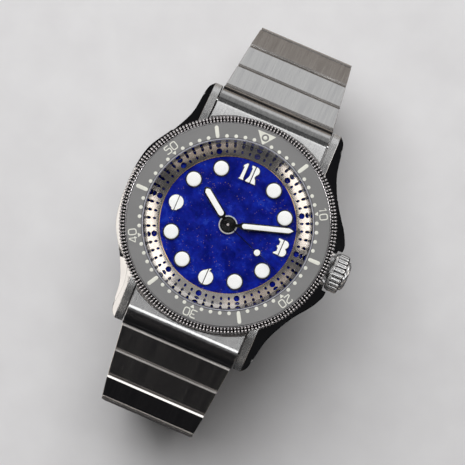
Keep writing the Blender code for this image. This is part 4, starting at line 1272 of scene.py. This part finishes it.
def soft_box(name, angle, height, distance, wide, tall, level, colour=(1.0, 1.0, 1.0)):
    """A rectangular softbox that faces the watch from a clock angle and a height in degrees above the
    horizon; level is its brightness as seen from the front."""
    data = bpy.data.lights.new(name, "AREA")
    data.shape = "RECTANGLE"
    data.size = wide * MM
    data.size_y = tall * MM
    data.energy = level * math.pi * data.size * data.size_y
    data.color = colour
    lamp = added(name, data)
    rise = math.radians(height)
    at = Vector((*polar(distance * math.cos(rise), angle), distance * math.sin(rise)))
    lamp.location = at * MM
    middle = Vector((0, 0, 5))
    lamp.rotation_euler = (middle - at).to_track_quat("-Z", "Y").to_euler()
    lamp.visible_camera = False
    return lamp


def reflector(*size):
    """A card that lights nothing matt and shows only in reflections."""
    lamp = soft_box(*size)
    lamp.visible_diffuse = False
    return lamp


def make_world(level, camera_level):
    """An even dim surround, and a pale one where the camera sees it directly."""
    world = bpy.data.worlds.new("surround")
    bpy.context.scene.world = world
    world.use_nodes = True
    tree = world.node_tree
    dim = add_node(tree, "Background", {"Color": level}).outputs[0]
    pale = add_node(tree, "Background", {"Color": camera_level}).outputs[0]
    seen = add_node(tree, "LightPath", {}).outputs["Is Camera Ray"]
    blend = add_node(tree, "MixShader", {0: seen, 1: dim, 2: pale})
    tree.links.new(blend.outputs[0], tree.nodes["World Output"].inputs["Surface"])


def make_floor():
    """A plain pale floor under the bracelet."""
    look = Nodes("floor_pale", Roughness=0.8, Specular_IOR_Level=0.2)
    pale = (0.70, 0.692, 0.696)
    look.link(look.ramp(look.noise(120, 3.0), (0.3, (0.66, 0.65, 0.655)), (0.7, pale)), "Base Color")
    low = CAD_BOX[0][2] / MM - 0.2
    half = 1500
    corners = [(-half, -half, low), (half, -half, low), (half, half, low), (-half, half, low)]
    floor = new_mesh("floor", corners, [(0, 1, 2, 3)])
    floor.materials.append(look.material)
    obj = added("floor", floor)
    obj.visible_glossy = False


def make_lights():
    """A large soft light for everything matt, and cards round the watch for the metal."""
    key = soft_box("key", 330, 62, 700, 700, 700, 4.8)
    key.visible_glossy = False
    cream = (1.0, 0.94, 0.88)
    brown = (1.0, 0.86, 0.74)
    reflector("card_12", 5, 9, 420, 620, 150, 0.42)
    reflector("card_12_tall", 5, 22, 430, 620, 365, 0.26)
    reflector("card_12_low", 0, -8, 420, 560, 90, 0.28, brown)
    reflector("strip_12", 0, 72.2, 450, 520, 50, 1.7)
    reflector("strip_12_dim", 0, 77.2, 450, 520, 30, 0.34)
    reflector("strip_12_mid", 0, 56, 450, 520, 100, 0.08)
    reflector("strip_6", 180, 70.5, 450, 520, 94, 1.9)
    reflector("strip_6_dim", 180, 81.6, 450, 520, 26, 0.7)
    reflector("strip_6_low", 180, 56, 450, 500, 30, 0.2)
    reflector("card_6_ground", 180, -42, 300, 460, 110, 0.3, brown)
    reflector("glint_right", 86, 52, 420, 120, 50, 5.0)
    reflector("glint_left", 236, 52, 420, 120, 50, 5.0)
    reflector("card_upper_right", 55, 22, 420, 480, 150, 1.7, cream)
    reflector("card_lower_left", 234, 22, 420, 480, 150, 1.7, cream)
    reflector("card_dim_right", 138, 22, 420, 380, 110, 0.4, brown)
    reflector("card_dim_left", 312, 22, 420, 400, 110, 0.4, brown)
    reflector("card_left", 250, -13, 300, 350, 120, 1.3, cream)
    reflector("card_left_low", 248, -50, 260, 170, 110, 1.2, cream)


def make_camera():
    """A long lens nearly straight above the dial, with 12 o'clock turned to the right."""
    data = bpy.data.cameras.new("camera")
    data.lens = 170.3
    data.sensor_width = 36.0
    camera = added("camera", data)
    right = Vector((0.9182, 0.3960, 0.0022)).normalized()
    back = right.cross(Vector((-0.3956, 0.9171, 0.0484))).normalized()
    turn = Matrix((right, back.cross(right), back)).transposed().to_4x4()
    camera.matrix_world = shift(8.0, -18.7, 401.3) @ turn
    bpy.context.scene.camera = camera


# ---- the watch


def keep_nodes():
    """Procedural materials for the CAD nodes that stay."""
    for look, nodes in (
        (RUBBER, ["case_back_gasket"]),
        (TURNED_X, ["crown_tube", "crown_stem"]),
        (BRUSHED_X, ["bezel_click_spring"]),
        (POLISHED, ["spring_bar_12", "spring_bar_6", "pallet_fork"]),
        (POLISHED, ["clasp_outer_blade", "clasp_inner_blade", "clasp_pusher_left", "clasp_pusher_right"]),
        (PLATE, ["main_plate", "winding_rotor"]),
        (BRASS, ["mainspring_barrel", "escape_wheel", "balance_wheel"]),
        (BRUSHED_Y, ["clasp_cover"]),
    ):
        for node in nodes:
            show_node(node, look)


make_case()
make_case_back()
make_bezel()
make_insert()
make_crystal()
make_chapter_ring()
make_markers()
make_numerals()
show_node("dial", LAPIS)
make_hands()
make_crown()
for label, side in (("12", 1), ("6", -1)):
    make_links(label, side)
    make_end_link(label, side)
keep_nodes()
make_world((0.010, 0.010, 0.011), (0.5, 0.5, 0.51))
make_floor()
make_lights()
make_camera()
bpy.context.scene.view_settings.view_transform = "Standard"
